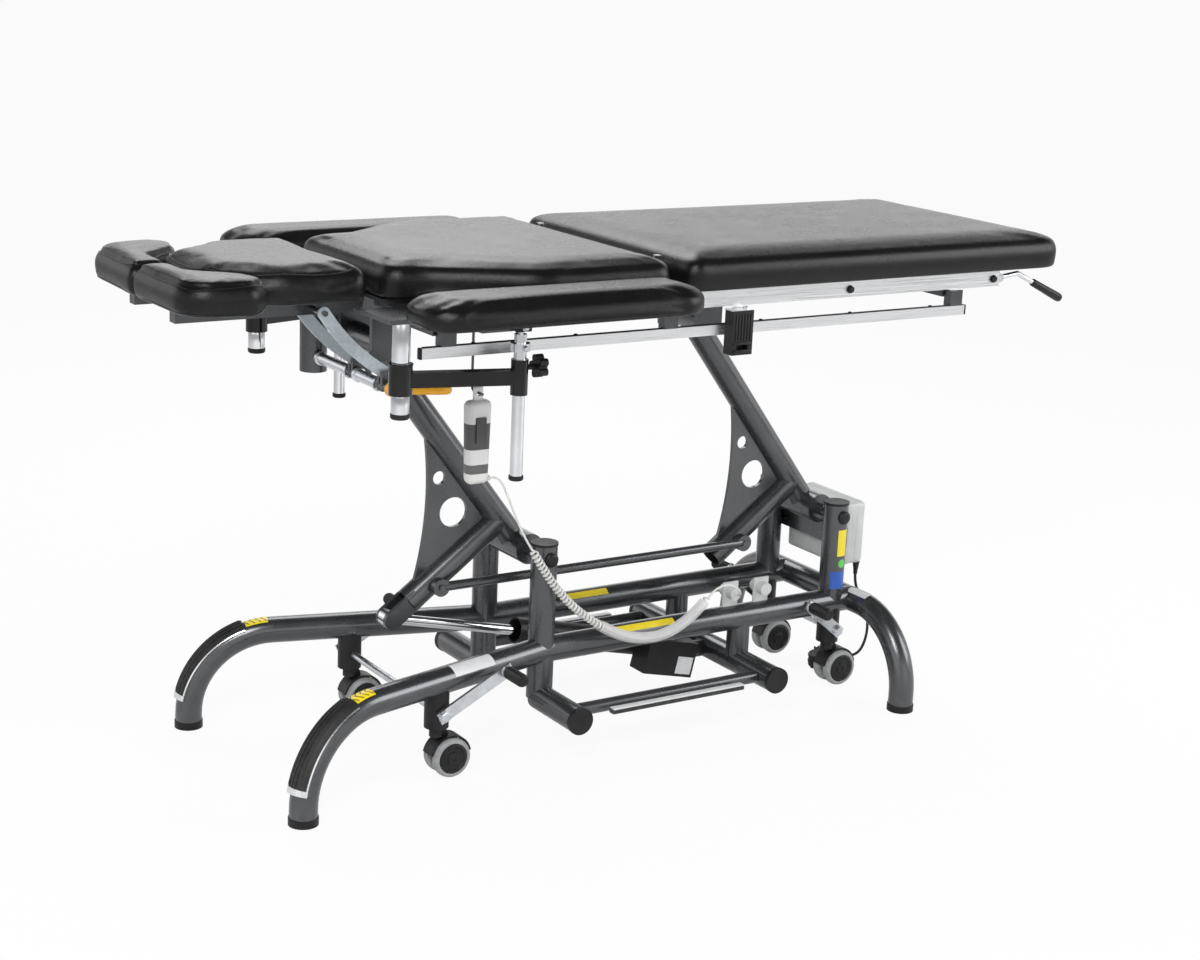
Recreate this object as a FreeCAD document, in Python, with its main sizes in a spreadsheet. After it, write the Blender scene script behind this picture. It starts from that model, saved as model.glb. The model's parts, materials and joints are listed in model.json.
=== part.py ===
"""Height-adjustable treatment table with a tilting head section, a raising lumbar section,
two swinging armrests, a central lift and retractable twin-wheel casters.

Millimetres, +X toward the foot end, +Y toward the far side, +Z up.
The origin is on the floor, midway between the four posts of the base.
"""
import math
import os

import FreeCAD
import Part

os.makedirs("parts", exist_ok=True)
V = FreeCAD.Vector
doc = FreeCAD.newDocument("treatment_table")

# Upholstery: height as a share of the side wall or the crown, inset as a share of the seam or crown inset
SIDE_PROFILE = [(0, 1), (0.16, 0.25), (0.42, 0), (0.62, 0), (0.84, 0.6), (1, 1.9)]
CROWN_PROFILE = [(0.65, 0.5), (1, 1)]

# Driving dimensions
SIZES = [
    ("tube_dia", 50.8), ("tube_wall", 3), ("post_span", 704), ("post_offset", 109), ("post_top", 401),
    ("rail_height", 186), ("rail_bend_radius", 150), ("head_foot_reach", 565),
    ("head_foot_offset", 258),
    ("head_leg_radius", 160), ("foot_leg_offset", 296), ("foot_leg_radius", 150),
    ("foot_pad_dia", 54), ("foot_pad_height", 14), ("cap_height", 5), ("cap_overhang", 1),
    ("stub_cap_height", 8),
    ("stub_height", 92), ("head_stub_reach", 254), ("foot_stub_reach", 240), ("foot_stub_place", 118),
    ("stub_drop_dia", 46),
    ("pivot_height", 372), ("shaft_dia", 25), ("hub_dia", 60), ("hub_length", 112), ("top_hub_dia", 50),
    ("arm_length", 526), ("arm_lean", 37.4), ("crank_root", 66), ("crank_tip_back", 270),
    ("crank_tip_drop", 117),
    ("link_pin_back", 184), ("link_pin_drop", 56), ("link_pin_dia", 12), ("link_pin_overhang", 4),
    ("link_offset", 40), ("link_dia", 18),
    ("link_eye_dia", 34), ("link_eye_width", 14), ("foot_crank_short", 45), ("crank_tip_clear", 46),
    ("gusset_thick", 8), ("gusset_along_arm", 350), ("gusset_sag", 26), ("gusset_hole_small", 26),
    ("gusset_hole_large", 58),
    ("gusset_small_back", 172), ("gusset_small_rise", 146), ("gusset_large_back", 140),
    ("gusset_large_rise", 76),
    ("actuator_pin_place", 73), ("actuator_pin_dia", 14), ("actuator_tube_dia", 52),
    ("actuator_bore", 46),
    ("actuator_length", 430), ("actuator_rod_dia", 20), ("actuator_rod_length", 340),
    ("actuator_eye_dia", 36),
    ("actuator_eye_width", 22), ("actuator_neck_height", 28), ("barrel_lap", 4), ("cheek_thick", 8),
    ("cheek_lap", 20), ("gearbox_length", 60), ("gearbox_height", 56),
    ("motor_length", 120), ("motor_width", 50), ("motor_height", 72),
    ("frame_bar", 40), ("frame_wall", 3), ("frame_top", 890), ("frame_offset", 76),
    ("frame_half_width", 272), ("lug_thick", 10),
    ("hinge_bar_place", -215), ("hinge_bar_width", 20), ("foot_bar_place", 465), ("plate_thick", 6),
    ("deck_half_width", 160), ("deck_setback", 8), ("arm_plate_inner", 130), ("arm_tab_inner", 200),
    ("arm_plate_thick", 8), ("arm_plate_edge", 18.6), ("knuckle_offset", 70), ("knuckle_lap", 6),
    ("clamp_shift", 10),
    ("side_rail_offset", 285), ("side_rail_thick", 10), ("side_rail_height", 19),
    ("side_rail_top", 834),
    ("side_rail_head", -722), ("side_rail_foot", 490), ("upright_width", 30), ("upright_depth", 20),
    ("upright_lap", 15.6),
    ("cushion_gap", 0.3), ("cushion_top", 966), ("seam_inset", 7), ("cushion_crown", 8),
    ("least_round", 4),
    ("lumbar_head", -186), ("lumbar_foot", 753), ("lumbar_half_width", 305), ("lumbar_corner", 55),
    ("lumbar_head_corner", 30), ("crown_inset", 80),
    ("thoracic_head", -739), ("thoracic_foot", -203), ("thoracic_half_width", 303),
    ("thoracic_neck", 190),
    ("thoracic_neck_length", 60), ("thoracic_flare_length", 190), ("thoracic_corner", 40),
    ("flare_round", 120), ("neck_round", 110), ("thoracic_drop", 2),
    ("head_cushion_head", -1042), ("head_cushion_foot", -755), ("head_half_width", 178),
    ("head_nose_half", 92), ("head_corner", 30), ("shoulder_round", 90), ("nose_round", 50),
    ("shoulder_shift", 26), ("head_drop", 4), ("head_crown_inset", 56),
    ("face_pad_front", -1124), ("face_pad_half", 240), ("face_pad_split", 2), ("face_pad_gap", 6),
    ("face_nose_clear", 4), ("face_hollow_reach", 76), ("face_hollow_spread", 58),
    ("face_wing_reach", 92), ("face_wing_inset", 34), ("face_tip_reach", 52), ("face_front_reach", 6),
    ("face_front_inset", 14),
    ("face_split_round", 14), ("face_chin_round", 5), ("face_nose_round", 26), ("face_hollow_round", 30),
    ("face_wing_round", 28), ("face_tip_round", 34), ("face_front_round", 60), ("face_pad_top", 958),
    ("face_crown_inset", 26),
    ("lumbar_hinge_place", -194.5), ("lumbar_hinge_rise", 58), ("ear_offset", 200), ("ear_thick", 6),
    ("ear_width", 11), ("ear_base_height", 5),
    ("hinge_pin_dia", 8), ("side_bar_thick", 8), ("side_bar_height", 30), ("side_bar_offset", 280),
    ("side_bar_foot", 581),
    ("lumbar_flat_width", 40), ("lumbar_flat_gap", 0.5), ("lumbar_head_flat", -164),
    ("lumbar_mid_flat", 200), ("lumbar_foot_flat", 545),
    ("spring_base_place", -150), ("spring_base_drop", 70), ("spring_tip_place", 250),
    ("spring_tip_drop", 40),
    ("spring_offset", 150), ("spring_dia", 32), ("spring_bore", 28), ("spring_length", 230),
    ("spring_rod_dia", 10),
    ("spring_rod_length", 326), ("spring_lug_drop", 16), ("spring_eye_dia", 20), ("spring_end_wall", 8),
    ("spring_neck_lap", 4), ("spring_pin_dia", 8),
    ("head_hinge_place", -747), ("head_hinge_height", 878), ("head_hinge_pin", 10), ("knuckle_dia", 20),
    ("knuckle_width", 20),
    ("head_bar", 24), ("head_bar_offset", 91), ("head_deck_gap", 15), ("head_plate_setback", 20),
    ("head_plate_half", 120), ("face_plate_half", 130), ("face_plate_setback", 34),
    ("face_plate_gap", 14), ("head_bar_setback", 40), ("hinge_lap", 6), ("strut_pin_overhang", 8),
    ("strut_pin_place", -836), ("strut_pin_height", 877),
    ("strut_width", 22), ("strut_thick", 4), ("strut_sag", 14), ("strut_near", -150),
    ("strut_mid", -36), ("strut_overrun", 24), ("strut_clear", 10),
    ("clamp_place", -720), ("clamp_height", 741), ("clamp_shaft_dia", 16), ("clamp_near_end", -195),
    ("column_offset", 132),
    ("column_bottom", 712), ("clamp_cheek", 8), ("clamp_cheek_size", 36),
    ("handle_dia", 14), ("handle_length", 105), ("handle_drop", 8), ("handle_hub_dia", 26),
    ("handle_hub_width", 16),
    ("inner_post_place", -762), ("inner_post_offset", 292), ("inner_post_dia", 31),
    ("inner_post_bottom", 723),
    ("sleeve_wall", 5), ("sleeve_bottom", 759), ("sleeve_height", 51), ("arm_bar", 25),
    ("outer_post_place", -562), ("outer_post_offset", 344), ("outer_post_dia", 22),
    ("outer_post_bottom", 610), ("post_foot_height", 6), ("post_foot_wall", 1.5),
    ("outer_sleeve_wall", 4), ("outer_sleeve_height", 62), ("collar_dia", 34), ("collar_height", 14),
    ("collar_gap", 14),
    ("tilt_pin_height", 872), ("tilt_pin_dia", 8), ("tilt_eye_width", 12), ("tilt_neck", 13),
    ("arm_pad_head", -789), ("arm_pad_foot", -232), ("arm_pad_inner", 312), ("arm_pad_width", 150),
    ("arm_pad_inner_round", 0.41), ("arm_pad_outer_round", 0.32), ("arm_pad_bottom", 891),
    ("arm_pad_height", 50), ("arm_crown_inset", 44), ("bracket_length", 130), ("bracket_width", 60),
    ("bracket_thick", 5), ("bracket_shift", 8), ("cheek_length", 30), ("tilt_cheek_drop", 8),
    ("tilt_pin_overhang", 4),
    ("knob_dia", 42), ("knob_thick", 16), ("knob_lobes", 5), ("knob_lobe_inset", 7),
    ("knob_lobe_grow", 2), ("knob_stem_dia", 10), ("knob_stem_length", 16),
    ("head_caster_place", 262), ("housing_dia", 46), ("housing_bore", 40), ("housing_bottom", 100),
    ("housing_floor", 6),
    ("cam_height", 130), ("cam_shaft_dia", 14), ("cam_dia", 20), ("cam_throw", 8), ("cam_gap", 1.2),
    ("cam_width", 12),
    ("stem_dia", 16), ("spigot_dia", 8), ("caster_boss_dia", 26), ("caster_boss_top", 97),
    ("caster_boss_height", 15),
    ("wheel_dia", 75), ("wheel_width", 20), ("wheel_lift", 3), ("wheel_trail", 24), ("axle_dia", 8),
    ("fork_thick", 10), ("wheel_side_gap", 1.5), ("hood_gap", 1.5), ("hood_thick", 3),
    ("hood_width", 34), ("hood_rise", 8),
    ("lever_thick", 6), ("lever_width", 24),
    ("head_lever_length", 145), ("head_lever_angle", 27), ("foot_lever_length", 95),
    ("foot_lever_angle", 140),
    ("grip_dia", 22), ("grip_length", 60),
    ("treadle_dia", 25), ("treadle_offset", 206), ("treadle_pin_dia", 14), ("treadle_pin_depth", 15),
    ("strip_offset", 240), ("strip_width", 14), ("strip_thick", 9), ("strip_inset", 55),
    ("web_thick", 4),
    ("control_width", 180), ("control_height", 135), ("control_depth", 64), ("gland_inset", 8),
    ("gland_offset", 78), ("gland_length", 26), ("gland_wall", 3), ("control_bottom", 250),
    ("mount_plate", 10),
    ("release_place", 600), ("release_offset", 262), ("release_height", 878), ("release_dia", 10),
    ("release_grip_dia", 15), ("release_grip_length", 86), ("release_lug_offset", 11),
    ("release_lug_width", 18), ("release_lug_drop", 10), ("release_eye_half", 5),
    ("release_eye_wall", 2), ("release_pin_reach", 6),
    ("release_knee_run", 50), ("release_knee_rise", 6), ("release_tip_place", 774),
    ("release_tip_height", 826),
    ("rail_bracket_place", -72), ("rail_bracket_width", 46), ("rail_bracket_height", 82),
    ("rail_bracket_depth", 26),
    ("rail_bracket_top", 862), ("rail_slot_width", 26), ("rail_slot_height", 9), ("rail_slot_rise", 14),
    ("switch_place", -530), ("switch_offset", 150), ("switch_top", 700), ("switch_length", 155),
    ("switch_width", 50),
    ("switch_thick", 28), ("nub_dia", 9), ("nub_length", 6), ("nub_rise", 7),
    ("rocker_width", 20), ("rocker_length", 46), ("rocker_thick", 6), ("rocker_gap", 0.6),
    ("rocker_rise", 24),
    ("rocker_pin_dia", 4), ("rocker_room", 6.5), ("hook_dia", 5), ("hook_radius", 10),
    ("hook_drop", 13), ("tab_height", 24), ("tab_half_width", 10), ("tab_half_thick", 3),
    ("hook_back", 22.4), ("hook_front", 16.8), ("tab_hole_room", 2), ("rocker_pin_reach", 3),
    ("junction_place", -470), ("junction_offset", 100), ("junction_length", 90), ("junction_width", 64),
    ("junction_height", 34),
    ("tread_thick", 5), ("tread_half_angle", 52), ("tread_start_angle", 18), ("tread_sweep_angle", 58),
    ("connector_dia", 26), ("connector_length", 40), ("connector_plate", 4), ("connector_place", 92),
    ("connector_pitch", 76), ("connector_rise", 30), ("connector_lug_width", 36),
    ("connector_lug_height", 76),
    ("run_fit", 0.1), ("side_gap", 0.5), ("open_gap", 1),
    ("cord_dia", 6), ("coil_radius", 41), ("coil_turns", 10), ("coil_pitch", 6.5), ("floor_gap", 0.3),
    ("plug_width", 22), ("plug_length", 28), ("plug_height", 16), ("plug_boss_dia", 10),
    ("plug_boss_length", 6),
    ("blade_length", 16), ("blade_width", 6.3), ("blade_thick", 1.5), ("blade_pitch", 12.7),
    ("curl_wire_dia", 4.2), ("curl_dia", 17), ("curl_pitch", 9),
]
sheet = doc.addObject("Spreadsheet::Sheet", "Sizes")
for row, (alias, value) in enumerate(SIZES, 1):
    sheet.set("A%d" % row, alias)
    sheet.set("B%d" % row, str(value))
    sheet.setAlias("B%d" % row, alias)
doc.recompute()


def size(alias):
    """A driving dimension as a plain number."""
    return float(sheet.get(alias))


SIDES = (("near", -1), ("far", 1))
HEAD_X = -size("post_span") / 2
FOOT_X = size("post_span") / 2
TUBE_R = size("tube_dia") / 2
RUN = size("run_fit")
nodes = []


# Building blocks bound to the sheet
def number(value):
    """A sheet alias or a worked-out length, as a number."""
    return size(value) if isinstance(value, str) else value


def rod(dia, start, end, grow=0.0):
    """Round bar between two points, its radius bound to the sheet."""
    obj = doc.addObject("Part::Cylinder", "rod")
    obj.setExpression("Radius", "Sizes.%s / 2 + %g" % (dia, grow))
    obj.Height = (end - start).Length
    obj.Placement = FreeCAD.Placement(start, FreeCAD.Rotation(V(0, 0, 1), end - start))
    return obj


def block(length, width, height, centre):
    """Box about a centre; each side is a sheet alias or a worked-out length."""
    obj = doc.addObject("Part::Box", "block")
    sides = (("Length", length), ("Width", width), ("Height", height))
    for prop, value in sides:
        if isinstance(value, str):
            obj.setExpression(prop, "Sizes." + value)
        else:
            setattr(obj, prop, value)
    half = V(*[number(value) / 2 for prop, value in sides])
    obj.Placement = FreeCAD.Placement(centre - half, FreeCAD.Rotation())
    return obj


def span(low, high):
    """Box between two corners, for pieces that fill a worked-out space."""
    return block(high.x - low.x, high.y - low.y, high.z - low.z, (low + high) / 2)


def flat_bar(start, end, width, thick, run_on=0.0):
    """Flat bar in a plane of constant Y, from start to end and run on past both."""
    along = (end - start).normalize()
    obj = doc.addObject("Part::Box", "flat_bar")
    obj.Length = (end - start).Length + 2 * run_on
    for prop, value in (("Width", thick), ("Height", width)):
        if isinstance(value, str):
            obj.setExpression(prop, "Sizes." + value)
        else:
            setattr(obj, prop, value)
    turn = FreeCAD.Rotation(V(1, 0, 0), along)
    corner = turn.multVec(V(-run_on, -number(thick) / 2, -number(width) / 2))
    obj.Placement = FreeCAD.Placement(start + corner, turn)
    return obj


def join(parts):
    """Pieces welded into one."""
    obj = doc.addObject("Part::MultiFuse", "join")
    obj.Shapes = parts
    return obj


def cut(base, tools):
    """A piece with others taken out of it."""
    obj = doc.addObject("Part::Cut", "cut")
    obj.Base = base
    obj.Tool = tools[0] if len(tools) == 1 else join(tools)
    return obj


def group(parts):
    """Separate solids that share one node."""
    obj = doc.addObject("Part::Compound", "group")
    obj.Links = parts
    return obj


def free_shape(shape):
    """A shape that no primitive gives, such as a bent tube or a cushion."""
    obj = doc.addObject("Part::Feature", "free_shape")
    obj.Shape = shape
    return obj


def node(label, obj):
    """Names a finished sub-part; the label is also its file's name."""
    obj.Label = label
    nodes.append(obj)
    return obj


def bend(points, radii):
    """Wire of straight runs with a tangent arc at each inner point."""
    edges = []
    at = points[0]
    for before, corner, after, radius in zip(points, points[1:], points[2:], radii):
        into = (corner - before).normalize()
        out = (after - corner).normalize()
        half = into.getAngle(out) / 2
        reach = radius * math.tan(half)
        start = corner - into * reach
        end = corner + out * reach
        inward = (out - into).normalize()
        middle = corner + inward * (radius / math.cos(half) - radius)
        if (start - at).Length > 1e-6:
            edges.append(Part.makeLine(at, start))
        edges.append(Part.Arc(start, middle, end).toShape())
        at = end
    edges.append(Part.makeLine(at, points[-1]))
    return Part.Wire(edges)


def pipe(wire, dia):
    """Round bar along a wire."""
    first = wire.OrderedEdges[0]
    start = first.valueAt(first.FirstParameter)
    along = first.tangentAt(first.FirstParameter)
    ring = Part.Wire(Part.Circle(start, along, dia / 2).toShape())
    return wire.makePipeShell([ring], True, False)


def bent_tube(points, radii):
    """Bent frame tube: its envelope and its wall."""
    path = bend(points, radii)
    outer = pipe(path, size("tube_dia"))
    inner = pipe(path, size("tube_dia") - 2 * size("tube_wall"))
    return outer, outer.cut(inner)


# Base: side rails with splayed head legs, and the foot-end cross tube
CROSS_X = FOOT_X + size("tube_dia")
RAIL_Z = size("rail_height")
PAD_TOP = size("foot_pad_height")
cross_points = [V(CROSS_X, y, z) for y, z in (
    (-size("foot_leg_offset"), PAD_TOP), (-size("foot_leg_offset"), RAIL_Z),
    (size("foot_leg_offset"), RAIL_Z), (size("foot_leg_offset"), PAD_TOP))]
cross_outer, cross_wall = bent_tube(cross_points, [size("foot_leg_radius")] * 2)
node("foot_cross_tube", free_shape(cross_wall))
rail_envelopes = {}
for side, sign in SIDES:
    foot = V(HEAD_X - size("head_foot_reach"), sign * size("head_foot_offset"), RAIL_Z)
    points = [V(CROSS_X, sign * size("post_offset"), RAIL_Z), V(HEAD_X, sign * size("post_offset"), RAIL_Z),
              foot, V(foot.x, foot.y, PAD_TOP)]
    outer, wall = bent_tube(points, [size("rail_bend_radius"), size("head_leg_radius")])
    rail_envelopes[side] = free_shape(outer)
    node(side + "_side_rail", free_shape(wall.cut(cross_outer)))
both_rails = [rail_envelopes[side] for side, sign in SIDES]


def tube_pair(start, end, dia="tube_dia"):
    """Straight frame tube as its outer bar and its bore."""
    return rod(dia, start, end), rod(dia, start, end, -size("tube_wall"))


# Posts with the lift pivots, outrigger stubs and the actuator's anchor
STUB_Z = size("stub_height")
POST_END = size("post_top") - size("cap_height")


def post_set(tubes, solids, holes):
    """Welded posts: tubes are hollowed, solids stay whole, the rails pass through."""
    outers = [pair[0] for pair in tubes]
    bores = [pair[1] for pair in tubes]
    hollow = cut(join(outers), bores)
    return cut(join([hollow] + solids), both_rails + holes)


def pivot_shaft(place):
    """Lift pivot between two posts."""
    reach = V(0, size("post_offset"), 0)
    centre = V(place, 0, size("pivot_height"))
    return rod("shaft_dia", centre - reach, centre + reach)


def treadle_holes(place, direction):
    """Bores in the stubs that carry the treadle pins."""
    start = [V(place, sign * size("treadle_offset"), STUB_Z) for side, sign in SIDES]
    reach = V(direction * (TUBE_R + 1), 0, 0)
    return [rod("treadle_pin_dia", point, point + reach, RUN) for point in start]


tubes = []
for side, sign in SIDES:
    y = sign * size("post_offset")
    tubes.append(tube_pair(V(HEAD_X, y, RAIL_Z), V(HEAD_X, y, POST_END)))
    tubes.append(tube_pair(V(HEAD_X, y, STUB_Z), V(HEAD_X, y, RAIL_Z)))
    tubes.append(tube_pair(V(HEAD_X, y, STUB_Z), V(HEAD_X, sign * size("head_stub_reach"), STUB_Z)))
node("head_posts", post_set(tubes, [pivot_shaft(HEAD_X)], treadle_holes(HEAD_X, 1)))

STUB_X = size("foot_stub_place")
ANCHOR = V(size("actuator_pin_place"), 0, STUB_Z)
tubes = [tube_pair(V(STUB_X, -size("foot_stub_reach"), STUB_Z), V(STUB_X, size("foot_stub_reach"), STUB_Z))]
for side, sign in SIDES:
    y = sign * size("post_offset")
    tubes.append(tube_pair(V(FOOT_X, y, RAIL_Z), V(FOOT_X, y, POST_END)))
    tubes.append(tube_pair(V(STUB_X, y, STUB_Z), V(STUB_X, y, RAIL_Z), "stub_drop_dia"))
CHEEK_Y = size("actuator_eye_width") / 2 + size("side_gap") + size("cheek_thick") / 2
PIN_REACH = V(0, CHEEK_Y + size("cheek_thick") / 2, 0)
cheeks = [flat_bar(ANCHOR + V(0, sign * CHEEK_Y, 0),
                   V(STUB_X - TUBE_R + size("barrel_lap"), sign * CHEEK_Y, STUB_Z),
                   size("actuator_eye_dia") - 2 * size("open_gap"), "cheek_thick") for side, sign in SIDES]
cheek_ends = [rod("actuator_eye_dia", ANCHOR + V(0, sign * CHEEK_Y - size("cheek_thick") / 2, 0),
                  ANCHOR + V(0, sign * CHEEK_Y + size("cheek_thick") / 2, 0)) for side, sign in SIDES]
anchor_pin = rod("actuator_pin_dia", ANCHOR - PIN_REACH, ANCHOR + PIN_REACH)
PLATE_X = FOOT_X + TUBE_R
CONTROL_MID = size("control_bottom") + size("control_height") / 2
control_plate = block("mount_plate", 2 * size("post_offset"), size("control_height") / 3,
                      V(PLATE_X + size("mount_plate") / 2 - 1, 0, CONTROL_MID))
node("foot_posts", post_set(tubes, [pivot_shaft(FOOT_X), anchor_pin, control_plate] + cheeks + cheek_ends,
                            treadle_holes(STUB_X, -1)))

# Black plugs on posts and stubs, and the four floor pads
caps = []
for side, sign in SIDES:
    for place in (HEAD_X, FOOT_X):
        top = V(place, sign * size("post_offset"), POST_END)
        caps.append(rod("tube_dia", top, top + V(0, 0, size("cap_height")), size("cap_overhang")))
    for place, reach in ((HEAD_X, "head_stub_reach"), (STUB_X, "foot_stub_reach")):
        end = V(place, sign * size(reach), STUB_Z)
        caps.append(rod("tube_dia", end, end + V(0, sign * size("stub_cap_height"), 0),
                        size("cap_overhang")))
feet = []
for side, sign in SIDES:
    for x, y in ((HEAD_X - size("head_foot_reach"), size("head_foot_offset")),
                 (CROSS_X, size("foot_leg_offset"))):
        feet.append(rod("foot_pad_dia", V(x, sign * y, 0), V(x, sign * y, PAD_TOP)))
node("caps_and_floor_pads", group(caps + feet))


# Ribbed tread pads wrapped over the head legs' bends
def tread_pad(sign):
    run = V(-size("head_foot_reach"), sign * (size("head_foot_offset") - size("post_offset")), 0)
    out = V(run).normalize()
    up = V(0, 0, 1)
    across = up.cross(out)
    radius = size("head_leg_radius")
    centre = V(HEAD_X, sign * size("post_offset"), RAIL_Z - radius) + run - out * radius
    crest = centre + up * radius
    half = math.radians(size("tread_half_angle"))

    def ring_point(r, angle):
        return crest + across * (r * math.sin(angle)) + up * (r * math.cos(angle))

    inner = TUBE_R
    outer = TUBE_R + size("tread_thick")
    edges = [Part.Arc(*[ring_point(outer, a) for a in (-half, 0, half)]).toShape(),
             Part.makeLine(ring_point(outer, half), ring_point(inner, half)),
             Part.Arc(*[ring_point(inner, a) for a in (half, 0, -half)]).toShape(),
             Part.makeLine(ring_point(inner, -half), ring_point(outer, -half))]
    face = Part.Face(Part.Wire(edges))
    face.rotate(centre, up.cross(out), size("tread_start_angle"))
    return free_shape(face.revolve(centre, up.cross(out), size("tread_sweep_angle")))


node("tread_pads", group([tread_pad(sign) for side, sign in SIDES]))

# Caster places: under the head legs, and under the foot posts
SPLAY = (size("head_foot_offset") - size("post_offset")) / size("head_foot_reach")
CASTERS = []
for end, x, y in (("head", HEAD_X - size("head_caster_place"),
                   size("post_offset") + SPLAY * size("head_caster_place")),
                  ("foot", FOOT_X, size("post_offset"))):
    for side, sign in SIDES:
        CASTERS.append((end, side, V(x, sign * y, 0)))
CAM_Z = size("cam_height")
housings = []
for end, side, at in CASTERS:
    floor_top = size("housing_bottom") + size("housing_floor")
    shell = rod("housing_dia", at + V(0, 0, size("housing_bottom")), at + V(0, 0, RAIL_Z))
    cavity = rod("housing_bore", at + V(0, 0, floor_top), at + V(0, 0, CAM_Z + size("cam_dia")))
    guide = rod("stem_dia", at, at + V(0, 0, floor_top + size("open_gap")), RUN)
    cross = V(0, size("housing_dia"), 0)
    shaft_hole = rod("cam_shaft_dia", at + V(0, 0, CAM_Z) - cross, at + V(0, 0, CAM_Z) + cross, RUN)
    housings.append(cut(shell, [cavity, guide, shaft_hole] + both_rails))
node("caster_housings", group(housings))

# Lift levers: a cross shaft with a cam over each stem, and a pedal lever with a grip at each end
for end, turn in (("head", "head_lever"), ("foot", "foot_lever")):
    pair = [at for caster_end, side, at in CASTERS if caster_end == end]
    centre = V(pair[0].x, 0, CAM_Z)
    lever_y = abs(pair[0].y) + size("housing_dia") / 2 + size("lever_thick")
    angle = math.radians(size(turn + "_angle"))
    along = V(math.cos(angle), 0, math.sin(angle)) * size(turn + "_length")
    throw = V(size("cam_throw") if end == "head" else -size("cam_throw"), 0, 0)
    pieces = [rod("cam_shaft_dia", centre - V(0, lever_y, 0), centre + V(0, lever_y, 0))]
    for at in pair:
        sign = 1 if at.y > 0 else -1
        mid = V(at.x, at.y, CAM_Z) + throw
        width = V(0, size("cam_width") / 2, 0)
        pieces.append(rod("cam_dia", mid - width, mid + width))
        hub = centre + V(0, sign * lever_y, 0)
        pieces.append(flat_bar(hub, hub + along, "lever_width", "lever_thick", size("lever_width") / 2))
        grip = hub + along
        pieces.append(rod("grip_dia", grip, grip + V(0, sign * size("grip_length"), 0)))
    node(end + "_caster_lever", join(pieces))

# Caster stems, forks and wheel pairs
BOSS_TOP = size("caster_boss_top")
AXLE_Z = size("wheel_dia") / 2 + size("wheel_lift")
STEM_TOP = CAM_Z - size("cam_dia") / 2 - size("cam_gap")
for end in ("head", "foot"):
    stems = []
    for caster_end, side, at in CASTERS:
        if caster_end == end:
            stem = rod("stem_dia", at + V(0, 0, BOSS_TOP + size("side_gap")), at + V(0, 0, STEM_TOP))
            spigot_low = BOSS_TOP - size("caster_boss_height") + 2 * size("open_gap")
            spigot = rod("spigot_dia", at + V(0, 0, spigot_low), at + V(0, 0, STEM_TOP))
            stems.append(join([stem, spigot]))
    node(end + "_caster_stems", group(stems))
FORK_HALF = size("fork_thick") / 2
WHEEL_IN = FORK_HALF + size("wheel_side_gap")
WHEEL_OUT = WHEEL_IN + size("wheel_width")
for end, side, at in CASTERS:
    name = side + "_" + end
    axle = V(at.x + size("wheel_trail"), at.y, AXLE_Z)
    boss = rod("caster_boss_dia", at + V(0, 0, BOSS_TOP - size("caster_boss_height")),
               at + V(0, 0, BOSS_TOP))
    web = flat_bar(axle, V(at.x + size("caster_boss_dia") / 4, at.y,
                           BOSS_TOP - size("caster_boss_height") / 2),
                   size("caster_boss_dia"), "fork_thick")
    nave = rod("caster_boss_dia", axle - V(0, FORK_HALF, 0), axle + V(0, FORK_HALF, 0))
    half_hood = V(0, size("hood_width") / 2, 0)
    clear = size("hood_gap")
    shell = rod("wheel_dia", axle - half_hood, axle + half_hood, clear + size("hood_thick"))
    hollow = rod("wheel_dia", axle - half_hood, axle + half_hood, clear)
    hood_reach = V(size("wheel_dia"), size("hood_width"), 0)
    upper = span(axle - hood_reach + V(0, 0, size("hood_rise")),
                 axle + hood_reach + V(0, 0, size("wheel_dia")))
    hood = doc.addObject("Part::MultiCommon", "hood")
    hood.Shapes = [cut(shell, [hollow]), upper]
    socket = rod("spigot_dia", at + V(0, 0, BOSS_TOP - size("caster_boss_height") + size("open_gap")),
                 at + V(0, 0, BOSS_TOP + size("open_gap")), RUN)
    bore = rod("axle_dia", axle - V(0, WHEEL_OUT, 0), axle + V(0, WHEEL_OUT, 0), RUN)
    wheel_room = [rod("wheel_dia", axle + V(0, sign * (WHEEL_IN - size("wheel_side_gap") / 2), 0),
                      axle + V(0, sign * WHEEL_OUT, 0), clear)
                  for side_name, sign in SIDES]
    node(name + "_caster_fork", cut(join([boss, web, nave, hood]), [socket, bore] + wheel_room))
    wheels = [rod("wheel_dia", axle + V(0, sign * WHEEL_IN, 0),
                  axle + V(0, sign * WHEEL_OUT, 0)) for side_name, sign in SIDES]
    pin = rod("axle_dia", axle - V(0, WHEEL_OUT, 0), axle + V(0, WHEEL_OUT, 0))
    node(name + "_caster_wheels", join(wheels + [pin]))

# Foot treadles with their contact strips
for side, sign in SIDES:
    y = sign * size("treadle_offset")
    left = V(HEAD_X + TUBE_R + size("open_gap"), y, STUB_Z)
    right = V(STUB_X - TUBE_R - size("open_gap"), y, STUB_Z)
    reach = V(size("treadle_pin_depth"), 0, 0)
    strip_y = sign * size("strip_offset")
    bar = rod("treadle_dia", left, right)
    pins = rod("treadle_pin_dia", left - reach, right + reach)
    strip_length = right.x - left.x - 2 * size("strip_inset")
    strip = block(strip_length, "strip_width", "strip_thick", V((left.x + right.x) / 2, strip_y, STUB_Z))
    web = block(strip_length - size("strip_inset"), abs(strip_y - y), "web_thick",
                V((left.x + right.x) / 2, (strip_y + y) / 2, STUB_Z))
    node(side + "_foot_treadle", join([bar, pins, strip, web]))

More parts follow.
